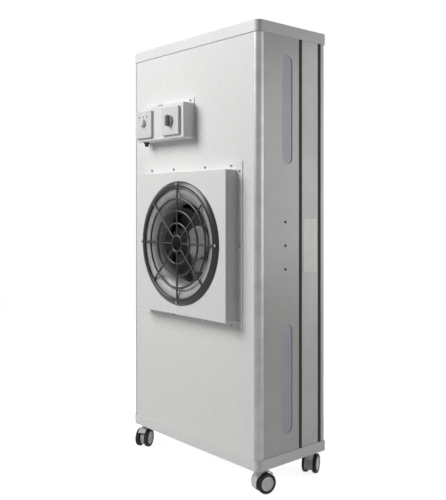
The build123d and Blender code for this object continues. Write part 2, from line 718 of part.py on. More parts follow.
box_edge = (BOX_W + BOX_FLANGE) / 2
box_points = [(x, edge) for x in BOX_SCREWS_X for edge in (-box_edge, box_edge)]
box_points += [(edge, z) for edge in (-box_edge, box_edge) for z in (-box_edge, 0, box_edge)]
control_up = (CONTROL_H + CONTROL_FLANGE) / 2
control_points = [(x, 0) for x in CONTROL_SCREWS_X]
with BuildPart() as panel_screws:
    add(pan_heads(front_plane(SHEET, 0.0, FAN_Z), box_points).part)
    add(pan_heads(front_plane(SHEET, 0.0, CONTROL_Z + control_up), control_points).part)
    for side in (1, -1):
        side_points = [
            (FRONT_Y + SIDE_SCREW_Y, BASE_Z + SIDE_SCREW_UP + step * SIDE_SCREW_PITCH) for step in (-1, 0, 1)
        ]
        add(pan_heads(Plane.YZ.offset(side * BODY_W / 2), side_points, side).part)
save(panel_screws, "panel_screws")

with BuildPart() as guard_screws:
    lug_points = [polar(LUG_SCREW_R, 360 * number / LUGS) for number in range(LUGS)]
    add(pan_heads(front_plane(crest + RIB_D, 0.0, FAN_Z), lug_points).part)
save(guard_screws, "guard_screws")


# ------------------------------------------------------------ castors
def castor(name, pivot_x, pivot_y, heading):
    """One twin-wheel castor whose axle lies behind its pivot along the heading."""
    along = Vector(cos(radians(heading)), sin(radians(heading)), 0)
    across = Vector(-sin(radians(heading)), cos(radians(heading)), 0)
    axle_centre = Vector(pivot_x, pivot_y, WHEEL_R) + along * TRAIL
    profile = Plane(origin=axle_centre, x_dir=along, z_dir=-across)
    hood_top = CASTOR_H - STEM_T - SWIVEL_GAP

    with BuildPart() as stem:
        with BuildSketch(Plane((pivot_x, pivot_y, CASTOR_H - STEM_T))):
            Circle(STEM_R)
        extrude(amount=STEM_T)
        with BuildSketch(Plane((pivot_x, pivot_y, CASTOR_H))):
            Circle(SPIGOT_R)
        extrude(amount=RIM_PLATE)
        with BuildSketch(Plane((pivot_x, pivot_y, CASTOR_H - STEM_T))):
            Circle(PIN_R)
        extrude(amount=-PIN_L)
    save(stem, f"{name}_stem")

    with BuildPart() as hood:
        with BuildSketch(profile):
            Circle(HOOD_R)
            Polygon(
                (0, 0),
                polar(2 * HOOD_R, ARCH_FROM),
                polar(3 * HOOD_R, (ARCH_FROM + 90) / 2),
                polar(3 * HOOD_R, 90),
                polar(3 * HOOD_R, (ARCH_TO + 90) / 2),
                polar(2 * HOOD_R, ARCH_TO),
                align=None,
                mode=Mode.INTERSECT,
            )
        extrude(amount=HOOD_HALF, both=True)
        with BuildSketch(profile):
            Circle(WEB_R)
        extrude(amount=WEB_T / 2, both=True)
        with BuildSketch(Plane((pivot_x, pivot_y, hood_top))):
            Circle(BOSS_R)
        extrude(amount=BOSS_FOOT - hood_top)
        for turn in (-1, 1):
            with BuildSketch(profile.offset(turn * WEB_T / 2)):
                Circle(WHEEL_R + WHEEL_ARCH_GAP)
            extrude(amount=turn * HOOD_HALF, mode=Mode.SUBTRACT)
        with BuildSketch(Plane((pivot_x, pivot_y, hood_top))):
            Circle(PIN_R + RUN_FIT)
        extrude(amount=-(PIN_L - SWIVEL_GAP + PIN_END_GAP), mode=Mode.SUBTRACT)
        with BuildSketch(profile):
            Circle(AXLE_R + RUN_FIT)
        extrude(amount=WEB_T, both=True, mode=Mode.SUBTRACT)
    save(hood, f"{name}_hood")

    axle_half = WHEEL_HALF - HUB_SET - AXLE_COVER
    with BuildPart() as axle:
        with BuildSketch(profile):
            Circle(AXLE_R)
        extrude(amount=axle_half - PIN_END_GAP, both=True)
    save(axle, f"{name}_axle")

    for letter, outward in (("a", across), ("b", -across)):
        inner = Plane(
            origin=axle_centre + outward * (WEB_T / 2 + WHEEL_SIDE_GAP),
            x_dir=along,
            z_dir=outward,
        )
        with BuildPart() as tyre:
            with BuildSketch(inner):
                Circle(WHEEL_R)
                Circle(TYRE_BORE, mode=Mode.SUBTRACT)
            extrude(amount=WHEEL_W)
            chamfer(outer_rings(tyre, 2), length=TYRE_CHAMFER)
        save(tyre, f"{name}_tyre_{letter}")

        with BuildPart() as hub:
            with BuildSketch(inner):
                Circle(TYRE_BORE - TYRE_FIT)
            extrude(amount=WHEEL_W - HUB_SET)
            with BuildSketch(inner.offset(WHEEL_W - HUB_SET)):
                Circle(HUB_DISH_R)
            extrude(amount=-HUB_DISH, mode=Mode.SUBTRACT)
            with BuildSketch(inner):
                Circle(AXLE_R + RUN_FIT)
            extrude(amount=WHEEL_W - HUB_SET - AXLE_COVER, mode=Mode.SUBTRACT)
        save(hub, f"{name}_hub_{letter}")


for corner, heading in HEADINGS.items():
    pivot_x = PIVOT_X if "right" in corner else -PIVOT_X
    pivot_y = PIVOT_FRONT_Y if "front" in corner else PIVOT_REAR_Y
    castor(f"castor_{corner}", pivot_x, pivot_y, heading)
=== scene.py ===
"""Looks of a mobile fan filter unit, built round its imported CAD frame.

Lengths are in metres, in the frame's own axes: the intake faces -Y, +Z is up, the floor is at zero.
"""

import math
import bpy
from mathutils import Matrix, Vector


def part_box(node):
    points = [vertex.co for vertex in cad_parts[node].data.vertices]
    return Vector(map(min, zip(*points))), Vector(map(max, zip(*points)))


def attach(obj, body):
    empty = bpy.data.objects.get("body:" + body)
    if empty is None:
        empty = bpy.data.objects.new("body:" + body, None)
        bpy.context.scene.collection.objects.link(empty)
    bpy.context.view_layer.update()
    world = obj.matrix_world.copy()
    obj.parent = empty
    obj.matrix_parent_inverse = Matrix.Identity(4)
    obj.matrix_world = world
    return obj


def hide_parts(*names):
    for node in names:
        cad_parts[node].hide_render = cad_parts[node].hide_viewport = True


bl_info = {
    "name": "Fan Filter Unit",
    "version": (1, 0, 0),
    "blender": (4, 5, 0),
    "location": "3D Viewport > Sidebar > Fan Unit",
    "description": "Models and finishes the pieces of a mobile fan filter unit",
    "category": "Object",
}

from contextlib import contextmanager

import bmesh
import bpy
from bpy.props import FloatProperty, FloatVectorProperty, PointerProperty
from mathutils import Matrix, Vector

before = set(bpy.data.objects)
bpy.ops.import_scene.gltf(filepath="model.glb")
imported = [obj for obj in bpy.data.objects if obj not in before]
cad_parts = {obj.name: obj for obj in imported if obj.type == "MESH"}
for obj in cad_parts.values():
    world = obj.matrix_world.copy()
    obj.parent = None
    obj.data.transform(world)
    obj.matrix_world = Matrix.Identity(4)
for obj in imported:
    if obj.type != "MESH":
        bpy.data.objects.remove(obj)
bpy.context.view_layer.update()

RIGHT = Vector((1, 0, 0))
BACK = Vector((0, 1, 0))
UP = Vector((0, 0, 1))
FRONT = -BACK
DOWN = -UP

SMOOTH_BELOW = math.radians(35)      # edges flatter than this are shaded smooth
SOFTEN_ABOVE = math.radians(40)      # edges sharper than this are softened
FLAT_BELOW = math.radians(0.5)       # edges flatter than this are only the CAD mesh's triangles
PARALLEL = 0.99                      # least cosine of an edge along a direction
FACING = 0.9                         # least cosine of a face towards a direction
WELD = 1e-6                          # points nearer than this are one point
CASTORS = ("front_right", "front_left", "rear_right", "rear_left")
SIDES = ("left", "right")


def mm(value):
    """Millimetres in metres."""
    return value * 0.001


def linear(hex_colour):
    """An sRGB hex colour as the linear colour that shaders take."""
    channels = [int(hex_colour[start:start + 2], 16) / 255 for start in (1, 3, 5)]
    return [c / 12.92 if c <= 0.04045 else ((c + 0.055) / 1.055) ** 2.4 for c in channels]


# ---------------------------------------------------------------- settings
def length(description, default_mm):
    """A length that the sidebar shows with its unit."""
    return FloatProperty(description=description, default=mm(default_mm), min=0.0, unit="LENGTH")


def level(description, default, low=0.0):
    """A plain number that the sidebar shows."""
    return FloatProperty(description=description, default=default, min=low)


def tint(description, hex_colour):
    """A colour that the sidebar shows as a swatch."""
    return FloatVectorProperty(
        description=description, default=linear(hex_colour), min=0.0, max=1.0, subtype="COLOR"
    )


class CabinetSettings(bpy.types.PropertyGroup):
    """Sizes and coats of the housing."""

    corner_radius: length("Front vertical corners of the cap and the base", 18.0)
    rear_corner: length("Rear corners of the cap, base and outlet frame", 2.5)
    rim_rounding: length("Outer edges of the cap and the base", 3.0)
    rim_wall: length("Wall of the rim that the body stands in", 2.0)
    post_radius: length("Rounding of the front corner posts", 15.5)
    sheet_edge: length("Softened edge of cut and folded sheet", 0.5)
    frame_edge: length("Softened edge of the filter and outlet frames", 1.0)
    lens_edge: length("Rounded lip of the side windows", 1.0)
    label_corner: length("Corner radius of the blank label", 2.0)
    white_coat: tint("Powder coat of the cap and the base", "#E9E9E8")
    face_coat: tint("Textured powder coat of the intake face", "#EDEDEC")
    side_coat: tint("Powder coat of the side panels", "#C2C2C1")


class FanSettings(bpy.types.PropertyGroup):
    """Sizes and finishes of the inlet, the guard and the fan."""

    box_corner: length("Vertical corners of the fan box", 4.0)
    fold_radius: length("Outer radius of the folded sheet", 1.6)
    flange: length("Width of the fan box flange", 24.0)
    sheet: length("Sheet thickness", 2.0)
    opening_radius: length("Hole in the face of the fan box", 170.0)
    ring_outer: length("Outer edge of the inlet ring", 187.0)
    ring_crest: length("Where the mouth starts to curve in", 172.0)
    throat: length("Narrowest radius of the inlet", 120.0)
    mouth_depth: length("Depth of the curved mouth", 38.5)
    rib_width: length("Width of the guard's rings and spokes", 6.0)
    flange_edge: length("Rounding of the ring's outer edge", 2.0)
    flange_inset: length("The ring's flange inside its outer radius", 3.0)
    rim_inner: length("Inside of the guard's broad rim", 170.0)
    rim_bulge: length("Radius of the rim's gently domed slope", 36.0)
    lug_reach: length("Outer end of the four spokes that carry the screws", 182.0)
    rib_rounding: length("Rounding of the guard's ribs", 2.8)
    rotor_rounding: length("Front edge of the motor's can", 6.0)
    ring_metal: tint("Spun steel of the inlet ring", "#ACACAB")
    guard_black: tint("Moulded black of the guard", "#0B0B0C")


class ControlSettings(bpy.types.PropertyGroup):
    """Sizes and plastics of the control box."""

    flange: length("Height of the fixing flange above the box", 18.0)
    plate_corner: length("Corner radius of the device plates", 4.0)
    plate_rounding: length("Front edge of the device plates", 1.5)
    knob_base: length("Height of the knob's round base", 5.0)
    grip_width: length("Width of the knob's grip", 8.0)
    dial_rounding: length("Rounding of the dial's front edge", 3.0)
    plate_white: tint("Moulded white of the device plates", "#DDDEDD")
    knob_grey: tint("Moulded grey of the knob", "#A2A3A4")


class CastorSettings(bpy.types.PropertyGroup):
    """Sizes and plastics of the twin-wheel castors."""

    trail: length("Axle behind the pivot", 17.0)
    wheel_radius: length("Outer radius of the tyre", 28.5)
    wheel_width: length("Width of one wheel", 13.5)
    hub_radius: length("Radius of the hub disc", 20.0)
    tyre_rounding: length("Shoulders of the tyre", 3.0)
    web: length("Thickness of the hood's middle web", 15.0)
    arch_radius: length("Outer radius of the hood", 33.0)
    arch_wall: length("Wall of the hood", 2.5)
    arch_reach: length("How far the hood reaches over each wheel", 5.0)
    hood_grey: tint("Moulded grey of the hood", "#CDCFD1")
    tyre_black: tint("Rubber of the tyres", "#0B0B0C")


class StageSettings(bpy.types.PropertyGroup):
    """Camera and studio light."""

    key_power: level("Power of the key light in watts", 38.0)
    rear_power: level("Power of the rear fill in watts", 3.8)
    room_level: level("Soft light from all round", 0.05)
    floor_lift: level("White added to the floor", 0.86)
    lens: level("Focal length in millimetres", 50.6, 10.0)


SETTINGS = {
    "fan_unit_cabinet": CabinetSettings,
    "fan_unit_fan": FanSettings,
    "fan_unit_control": ControlSettings,
    "fan_unit_castor": CastorSettings,
    "fan_unit_stage": StageSettings,
}


# ---------------------------------------------------------------- modelling
def activate(*pieces):
    """Selects these pieces alone, the first one active."""
    bpy.ops.object.select_all(action="DESELECT")
    for piece in pieces:
        piece.select_set(True)
    bpy.context.view_layer.objects.active = pieces[0]


@contextmanager
def editing(piece):
    """Edit mode on one piece."""
    activate(piece)
    bpy.ops.object.mode_set(mode="EDIT")
    bpy.ops.mesh.select_mode(type="VERT")
    yield
    bpy.ops.object.mode_set(mode="OBJECT")


def everything():
    """Selects the whole mesh in edit mode."""
    bpy.ops.mesh.select_all(action="SELECT")


def pick(kind, test):
    """Selects the VERT, EDGE or FACE elements that pass a test in edit mode."""
    bpy.ops.mesh.select_mode(type=kind)
    bpy.ops.mesh.select_all(action="DESELECT")
    mesh = bpy.context.object.data
    shape = bmesh.from_edit_mesh(mesh)
    elements = {"VERT": shape.verts, "EDGE": shape.edges, "FACE": shape.faces}[kind]
    for element in elements:
        if test(element):
            element.select_set(True)
    bmesh.update_edit_mesh(mesh)


def parallel(direction):
    """Test for edges along a direction."""
    def test(edge):
        start, end = (vertex.co for vertex in edge.verts)
        return abs((end - start).normalized().dot(direction)) > PARALLEL
    return test


def facing(direction):
    """Test for faces that look along a direction."""
    return lambda face: face.normal.dot(direction) > FACING


def rim_of(direction):
    """Test for the edges round the faces that look along a direction."""
    looks = facing(direction)
    return lambda edge: sum(looks(face) for face in edge.link_faces) == 1


def both(*tests):
    """Test for elements that pass every one of several tests."""
    return lambda element: all(test(element) for test in tests)


def every_end(test):
    """Test for edges whose two ends both pass a test of places."""
    return lambda edge: all(test(vertex.co) for vertex in edge.verts)


def any_end(test):
    """Test for edges with an end that passes a test of places."""
    return lambda edge: any(test(vertex.co) for vertex in edge.verts)


def push(offset):
    """Extrudes the selection by an offset."""
    bpy.ops.mesh.extrude_region_move(TRANSFORM_OT_translate={"value": offset})


def round_off(test, radius, segments=4):
    """Bevels the edges that pass a test."""
    pick("EDGE", test)
    bpy.ops.mesh.bevel(offset=radius, segments=segments, affect="EDGES")


def named(piece, name):
    """Gives a piece and its mesh one name, and puts its place into the mesh."""
    piece.name = name
    piece.data.name = name
    activate(piece)
    bpy.ops.object.transform_apply(location=True, rotation=True, scale=True)
    return piece


def block(name, low, high):
    """Box between two corners, to be shaped further."""
    bpy.ops.object.select_all(action="DESELECT")
    low, high = Vector(low), Vector(high)
    bpy.ops.mesh.primitive_cube_add(size=1, location=(low + high) / 2, scale=high - low)
    return named(bpy.context.object, name)


def drawn(name, points, closed):
    """Chain of edges through points, extruded from one vertex."""
    bpy.ops.object.select_all(action="DESELECT")
    bpy.ops.mesh.primitive_plane_add(size=mm(1), location=points[0])
    piece = named(bpy.context.object, name)
    with editing(piece):
        everything()
        bpy.ops.mesh.merge(type="CENTER")
        for here, there in zip(points, points[1:]):
            push(there - here)
        if closed:
            ends = (points[0], points[-1])
            pick("VERT", lambda vertex: any((vertex.co - end).length < WELD for end in ends))
            bpy.ops.mesh.edge_face_add()
    return piece


def turned(
    name, centre, profile, axis=FRONT, radial=RIGHT, closed=False, steps=64, sweep=math.tau
):
    """Revolves a profile of (radius, along) pairs about an axis."""
    points = [centre + radial * radius + axis * along for radius, along in profile]
    piece = drawn(name, points, closed)
    with editing(piece):
        everything()
        bpy.ops.mesh.spin(steps=steps, angle=sweep, center=centre, axis=axis)
        everything()
        bpy.ops.mesh.remove_doubles(threshold=WELD)
        if sweep < math.tau:
            everything()
            bpy.ops.mesh.fill_holes(sides=0)
        everything()
        bpy.ops.mesh.normals_make_consistent(inside=False)
    return piece


def arc(centre_r, centre_a, radius_r, radius_a, start, end, steps):
    """Points of an arc, or of an ellipse's quarter, in (radius, along) pairs."""
    angles = [math.radians(start + (end - start) * step / steps) for step in range(steps + 1)]
    return [(centre_r + radius_r * math.cos(a), centre_a + radius_a * math.sin(a)) for a in angles]


def bend(centre_r, centre_a, radius, start, end, steps):
    """Points of a circle's arc, in (radius, along) pairs."""
    return arc(centre_r, centre_a, radius, radius, start, end, steps)


def shoulder(radius, rise, edge, steps):
    """Rounded corner between a round piece's side and its front face."""
    return bend(radius - edge, rise - edge, edge, 0, 90, steps)


def centre_of(node, **moved):
    """Middle of a CAD node's box, with the named axes put elsewhere."""
    low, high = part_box(node)
    return Vector([
        moved.get(axis, (getattr(low, axis) + getattr(high, axis)) / 2) for axis in "xyz"
    ])


def rounded_section(inner, outer, low, high, corner, steps=3):
    """Closed section of a rectangle with rounded corners."""
    left, right = inner + corner, outer - corner
    under, over = low + corner, high - corner
    corners = ((right, over), (left, over), (left, under), (right, under))
    return [
        point for quarter, (across, along) in enumerate(corners)
        for point in bend(across, along, corner, 90 * quarter, 90 * quarter + 90, steps)
    ]


def copied(piece, name, placement):
    """Copy with a mesh of its own, moved by a matrix that is applied."""
    activate(piece)
    bpy.ops.object.duplicate(linked=False)
    copy = bpy.context.object
    copy.matrix_world = placement
    return named(copy, name)


def joined(name, pieces):
    """One object from several."""
    activate(*pieces)
    bpy.ops.object.join()
    return named(bpy.context.object, name)


def removed(piece):
    """Takes a finished pattern piece out of the scene."""
    bpy.data.objects.remove(piece)


def combine(piece, tool, operation):
    """Cuts, keeps or adds the tool's shape, and takes the tool away."""
    activate(piece)
    change = piece.modifiers.new("combine", "BOOLEAN")
    change.operation = operation
    change.solver = "EXACT"
    change.object = tool
    bpy.ops.object.modifier_apply(modifier=change.name)
    removed(tool)
    return piece


def refined(node, edge, segments=2):
    """Welded copy of a CAD node with softened edges, to stand for it."""
    piece = bpy.data.objects.new(node + "_look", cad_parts[node].data.copy())
    bpy.context.scene.collection.objects.link(piece)
    with editing(piece):
        everything()
        bpy.ops.mesh.remove_doubles(threshold=WELD)
        bpy.ops.mesh.dissolve_limited(angle_limit=FLAT_BELOW)
    if edge > 0:
        soften = piece.modifiers.new("soften", "BEVEL")
        soften.width = edge
        soften.segments = segments
        soften.limit_method = "ANGLE"
        soften.angle_limit = SOFTEN_ABOVE
        soften.use_clamp_overlap = True
        activate(piece)
        bpy.ops.object.modifier_apply(modifier=soften.name)
    return piece


def dress(piece, body, finish_name, *nodes, slot=None):
    """Finishes a piece: smooth shading, material, body and the nodes it stands for.

    The slot argument is not used.
    """
    activate(piece)
    bpy.ops.object.shade_smooth_by_angle(angle=SMOOTH_BELOW)
    flatten = piece.modifiers.new("flatten", "WEIGHTED_NORMAL")
    flatten.keep_sharp = True
    bpy.ops.object.modifier_apply(modifier=flatten.name)
    piece.data.materials.clear()
    piece.data.materials.append(MATERIALS[finish_name])
    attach(piece, body)
    if nodes:
        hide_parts(*nodes)
    return piece


def paint(finish_name, *nodes):
    """Gives CAD nodes that stay in view a finished material."""
    for node in nodes:
        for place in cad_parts[node].material_slots:
            place.material = MATERIALS[finish_name]


# ---------------------------------------------------------------- materials
def add_node(tree, kind, settings=None, values=None, links=None):
    """Adds a shader node with its settings, socket values and links."""
    node = tree.nodes.new(kind)
    for name, value in (settings or {}).items():
        setattr(node, name, value)
    for socket, value in (values or {}).items():
        node.inputs[socket].default_value = value
    for socket, source in (links or {}).items():
        tree.links.new(source, node.inputs[socket])
    return node


def opaque(colour):
    """A colour with full alpha."""
    return (*colour[:3], 1.0)


def shaded(colour, share):
    """A darker or lighter share of a linear colour."""
    return [min(1.0, channel * share) for channel in colour[:3]]


EVEN = (1.0, 1.0, 1.0)
UPRIGHT_LINES = (1.0, 1.0, 0.004)

MATERIALS = {}


def finish(key, name, tone, other, patch, gloss, grain, stretch=EVEN, **shader_values):
    """Adds to MATERIALS a material whose tone, gloss and relief all vary.

    tone: a hex colour or a linear one. other: the patches' hex colour, or their share of the tone.
    patch: their size in mm. gloss: lowest and highest roughness. grain: size and depth of the fine
    relief in mm. stretch: how the relief is drawn out along X, Y and Z.
    """
    tone = linear(tone) if isinstance(tone, str) else tone
    other = linear(other) if isinstance(other, str) else shaded(tone, other)
    material = bpy.data.materials.new(name)
    material.use_nodes = True
    tree = material.node_tree
    shader = tree.nodes["Principled BSDF"]
    for socket, value in shader_values.items():
        shader.inputs[socket.replace("_", " ")].default_value = value
    place = add_node(tree, "ShaderNodeTexCoord").outputs["Object"]
    clouds = add_node(
        tree, "ShaderNodeTexNoise", links={"Vector": place},
        values={"Scale": 1 / mm(patch), "Detail": 4.0, "Roughness": 0.6},
    )
    blend = add_node(
        tree, "ShaderNodeMapRange", values={"From Min": 0.35, "From Max": 0.65},
        links={"Value": clouds.outputs["Fac"]},
    )
    mix = add_node(
        tree, "ShaderNodeMix", settings={"data_type": "RGBA"},
        links={"Factor": blend.outputs["Result"]},
    )
    for socket in mix.inputs:
        if socket.type == "RGBA":
            socket.default_value = opaque(tone if socket.name == "A" else other)
    colour = next(output for output in mix.outputs if output.type == "RGBA")
    tree.links.new(colour, shader.inputs["Base Color"])
    size, depth = grain
    drawn_out = add_node(
        tree, "ShaderNodeMapping", values={"Scale": stretch}, links={"Vector": place}
    )
    relief = add_node(
        tree, "ShaderNodeTexNoise", values={"Scale": 1 / mm(size), "Detail": 2.0, "Roughness": 0.5},
        links={"Vector": drawn_out.outputs["Vector"]},
    )
    roughness = add_node(
        tree, "ShaderNodeMapRange",
        values={"From Min": 0.3, "From Max": 0.7, "To Min": gloss[0], "To Max": gloss[1]},
        links={"Value": relief.outputs["Fac"]},
    )
    tree.links.new(roughness.outputs["Result"], shader.inputs["Roughness"])
    bump = add_node(
        tree, "ShaderNodeBump", values={"Strength": 1.0, "Distance": mm(depth)},
        links={"Height": relief.outputs["Fac"]},
    )
    tree.links.new(bump.outputs["Normal"], shader.inputs["Normal"])
    MATERIALS[key] = material


def build_materials():
    """Makes every finish once, from the settings in the sidebar."""
    scene = bpy.context.scene
    cabinet = scene.fan_unit_cabinet
    fan = scene.fan_unit_fan
    control = scene.fan_unit_control
    castor = scene.fan_unit_castor

    # Polyester powder coat, sprayed and baked: flat white with a soft orange peel in its gloss.
    finish(
        "white_powder_coat", "white_powder_coat", cabinet.white_coat, 0.95, 160.0,
        (0.34, 0.46), (5.0, 0.05), Specular_IOR_Level=0.35,
    )
    # Fine-texture powder coat: a mottled, sandy relief. The grit is drawn at 6 mm so that it shows.
    finish(
        "textured_coat", "textured_powder_coat", cabinet.face_coat, 0.95, 9.0,
        (0.46, 0.64), (6.0, 0.22), Specular_IOR_Level=0.35,
    )
    # Semi-gloss powder coat on flat sheet: pale grey, smoother than the face.
    finish(
        "side_coat", "semi_gloss_powder_coat", cabinet.side_coat, 0.93, 120.0,
        (0.26, 0.36), (7.0, 0.06),
    )
    # Anodised aluminium extrusion: satin metal with fine die lines along its length.
    finish(
        "satin_aluminium", "anodised_aluminium_extruded", "#9B9C9D", "#8F9091", 60.0,
        (0.42, 0.54), (1.2, 0.02), stretch=UPRIGHT_LINES, Metallic=1.0,
    )
    # Etched and anodised aluminium extrusion: matt grey, duller than the posts.
    finish(
        "filter_aluminium", "etched_aluminium_extruded", "#B3B3B2", "#A9A9A8", 120.0,
        (0.5, 0.64), (1.5, 0.03), stretch=UPRIGHT_LINES, Metallic=0.35,
    )
    # Powder coat on folded sheet and welded wire: clean light grey.
    finish(
        "outlet_coat", "outlet_powder_coat", "#DCDEE0", "#D2D4D7", 90.0,
        (0.34, 0.46), (4.0, 0.04),
    )
    # Frosted cast acrylic: a milky sheet, faintly violet, with a soft sheen.
    finish(
        "frosted_acrylic", "frosted_acrylic", "#C6C2D2", "#BDB9CA", 70.0,
        (0.36, 0.5), (2.0, 0.02), IOR=1.49, Transmission_Weight=0.12,
    )
    # EPDM sponge strip: matt near-black with fine open pores.
    finish(
        "seal_rubber", "epdm_sponge_rubber", "#1B1B1D", "#26262A", 14.0,
        (0.78, 0.92), (1.6, 0.25),
    )
    # Glass-fibre filter paper, folded: dull white with a felted surface.
    finish(
        "filter_paper", "glass_fibre_paper", "#EFEFEA", "#E2E2DB", 12.0,
        (0.88, 0.98), (1.0, 0.12), IOR=1.45,
    )
    # Galvanised steel, spun on a lathe: pale, dull metal with cloudy zinc patches.
    finish(
        "spun_steel", "galvanised_steel_spun", fan.ring_metal, 0.78, 26.0,
        (0.44, 0.58), (3.0, 0.03), Metallic=0.2, Specular_IOR_Level=0.4,
    )
    # Glass-filled nylon, moulded: deep black with a satin highlight along the top of each rib.
    finish(
        "black_enamel", "black_glass_nylon_moulded", fan.guard_black, 1.6, 25.0,
        (0.2, 0.28), (2.0, 0.03), IOR=1.53, Specular_IOR_Level=0.4,
    )
    # Steel, spun and blackened with oil: dark metal with one broad, soft highlight.
    finish(
        "blackened_steel", "blackened_steel_spun", "#4A4A4B", "#3C3C3D", 30.0,
        (0.4, 0.5), (2.0, 0.02), Metallic=1.0,
    )
    # Zinc-plated steel, turned and pressed: bright, slightly blue metal.
    finish(
        "zinc_steel", "zinc_plated_steel", "#9CA0A5", "#83878D", 6.0,
        (0.25, 0.42), (0.8, 0.02), Metallic=1.0,
    )
    # Galvanised sheet of the fan wheel, pressed and riveted: grey, dulled by a film of dust.
    finish(
        "impeller_steel", "galvanised_steel_pressed", "#A2A2A1", "#7C7C7B", 22.0,
        (0.55, 0.7), (2.0, 0.05), Metallic=0.15,
    )
    # Die-cast aluminium can, sprayed with clear lacquer: mid grey and nearly matt.
    finish(
        "motor_grey", "die_cast_aluminium_lacquered", "#8D8D8C", "#757574", 16.0,
        (0.5, 0.64), (1.5, 0.05), Metallic=0.3,
    )
    # Die-cast aluminium, shot-blasted: pale grey with a fine even grit.
    finish(
        "motor_aluminium", "die_cast_aluminium_blasted", "#B4B6B8", "#A3A5A8", 15.0,
        (0.48, 0.62), (1.0, 0.06), Metallic=1.0,
    )
    # ABS, moulded in a lightly etched tool: clean white with a satin skin.
    finish(
        "white_switch_plastic", "white_abs_moulded", control.plate_white, 0.96, 35.0,
        (0.32, 0.42), (1.2, 0.02), IOR=1.53,
    )
    # Nylon, moulded in an etched tool: dark grey with a dry sheen.
    finish(
        "grey_knob_plastic", "grey_nylon_moulded", control.knob_grey, 0.8, 8.0,
        (0.36, 0.5), (0.8, 0.04), IOR=1.53,
    )
    # Polycarbonate, moulded and unlit: smooth grey lens.
    finish(
        "lamp_plastic", "grey_polycarbonate_moulded", "#8E8F90", "#808182", 4.0,
        (0.12, 0.2), (1.0, 0.01), IOR=1.58,
    )
    # Nylon gland, moulded: plain black, a little scuffed.
    finish(
        "black_plastic", "black_nylon_moulded", "#161618", "#222225", 7.0,
        (0.42, 0.6), (0.9, 0.04), IOR=1.53,
    )
    # Vinyl film, printed face bare: pale, slightly green, smooth.
    finish(
        "label_vinyl", "vinyl_film_calendered", "#F0F0E6", "#E6E7DC", 40.0,
        (0.3, 0.4), (5.0, 0.03), IOR=1.52,
    )
    # Nylon, moulded in a fine-etched tool: light grey, satin, scuffed by use.
    finish(
        "hood_plastic", "light_grey_nylon_moulded", castor.hood_grey, 0.9, 12.0,
        (0.34, 0.5), (0.9, 0.03), IOR=1.53,
    )
    # Thermoplastic rubber tread: black, matt, with a film of floor dust.
    finish(
        "tyre_rubber", "thermoplastic_rubber_moulded", castor.tyre_black, "#18181A", 9.0,
        (0.55, 0.75), (1.0, 0.08), Specular_IOR_Level=0.3,
    )
    # Polypropylene wheel core, moulded: light grey with a waxy sheen.
    finish(
        "hub_plastic", "light_grey_polypropylene_moulded", "#E6E7E8", "#D8DADB", 10.0,
        (0.35, 0.48), (0.9, 0.02), IOR=1.49,
    )


# ---------------------------------------------------------------- cabinet
def rim(node, plate_side):
    """Cap or base: a rounded pan with its open side away from plate_side."""
    cabinet = bpy.context.scene.fan_unit_cabinet
    low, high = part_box(node)
    plate_thickness = mm(3)
    piece = block(node + "_look", low, high)
    upright = parallel(UP)
    middle = (low.y + high.y) / 2
    front = both(upright, every_end(lambda place: place.y < middle))
    rear = both(upright, every_end(lambda place: place.y > high.y - WELD))
    with editing(piece):
        round_off(front, cabinet.corner_radius, 10)
        round_off(rear, cabinet.rear_corner, 4)
        round_off(rim_of(plate_side), cabinet.rim_rounding, 4)
        pick("FACE", facing(-plate_side))
        bpy.ops.mesh.inset(thickness=cabinet.rim_wall, depth=0.0)
        depth = high.z - low.z - plate_thickness
        push(plate_side * depth)
        round_off(rim_of(-plate_side), cabinet.sheet_edge, 2)
    return dress(piece, "cabinet", "white_powder_coat", node)


class FANUNIT_OT_materials(bpy.types.Operator):
    """Make every finish of the unit."""

    bl_idname = "fan_unit.materials"
    bl_label = "Finishes"

    def execute(self, context):
        build_materials()
        return {"FINISHED"}


class FANUNIT_OT_cap_and_base(bpy.types.Operator):
    """Model the top cap and the base pan."""

    bl_idname = "fan_unit.cap_and_base"
    bl_label = "Cap and base"

    def execute(self, context):
        rim("top_cap", UP)
        rim("base_frame", DOWN)
        return {"FINISHED"}


class FANUNIT_OT_corner_posts(bpy.types.Operator):
    """Model the two rounded front corner posts."""

    bl_idname = "fan_unit.corner_posts"
    bl_label = "Corner posts"

    def execute(self, context):
        cabinet = context.scene.fan_unit_cabinet
        front_leg, side_leg = mm(15.5), mm(21.5)
        for side in SIDES:
            low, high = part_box("corner_post_" + side)
            if side == "right":
                low.x = high.x - front_leg
            else:
                high.x = low.x + front_leg
            high.y = low.y + side_leg
            piece = block("corner_post_look_" + side, low, high)
            corner = low.x if side == "left" else high.x
            outer = every_end(lambda p: abs(p.x - corner) < WELD and abs(p.y - low.y) < WELD)
            with editing(piece):
                round_off(both(parallel(UP), outer), cabinet.post_radius - WELD, 12)
                pick("FACE", facing(BACK))
                bpy.ops.mesh.inset(thickness=mm(1), depth=0.0)
            dress(piece, "cabinet", "satin_aluminium", "corner_post_" + side)
        return {"FINISHED"}


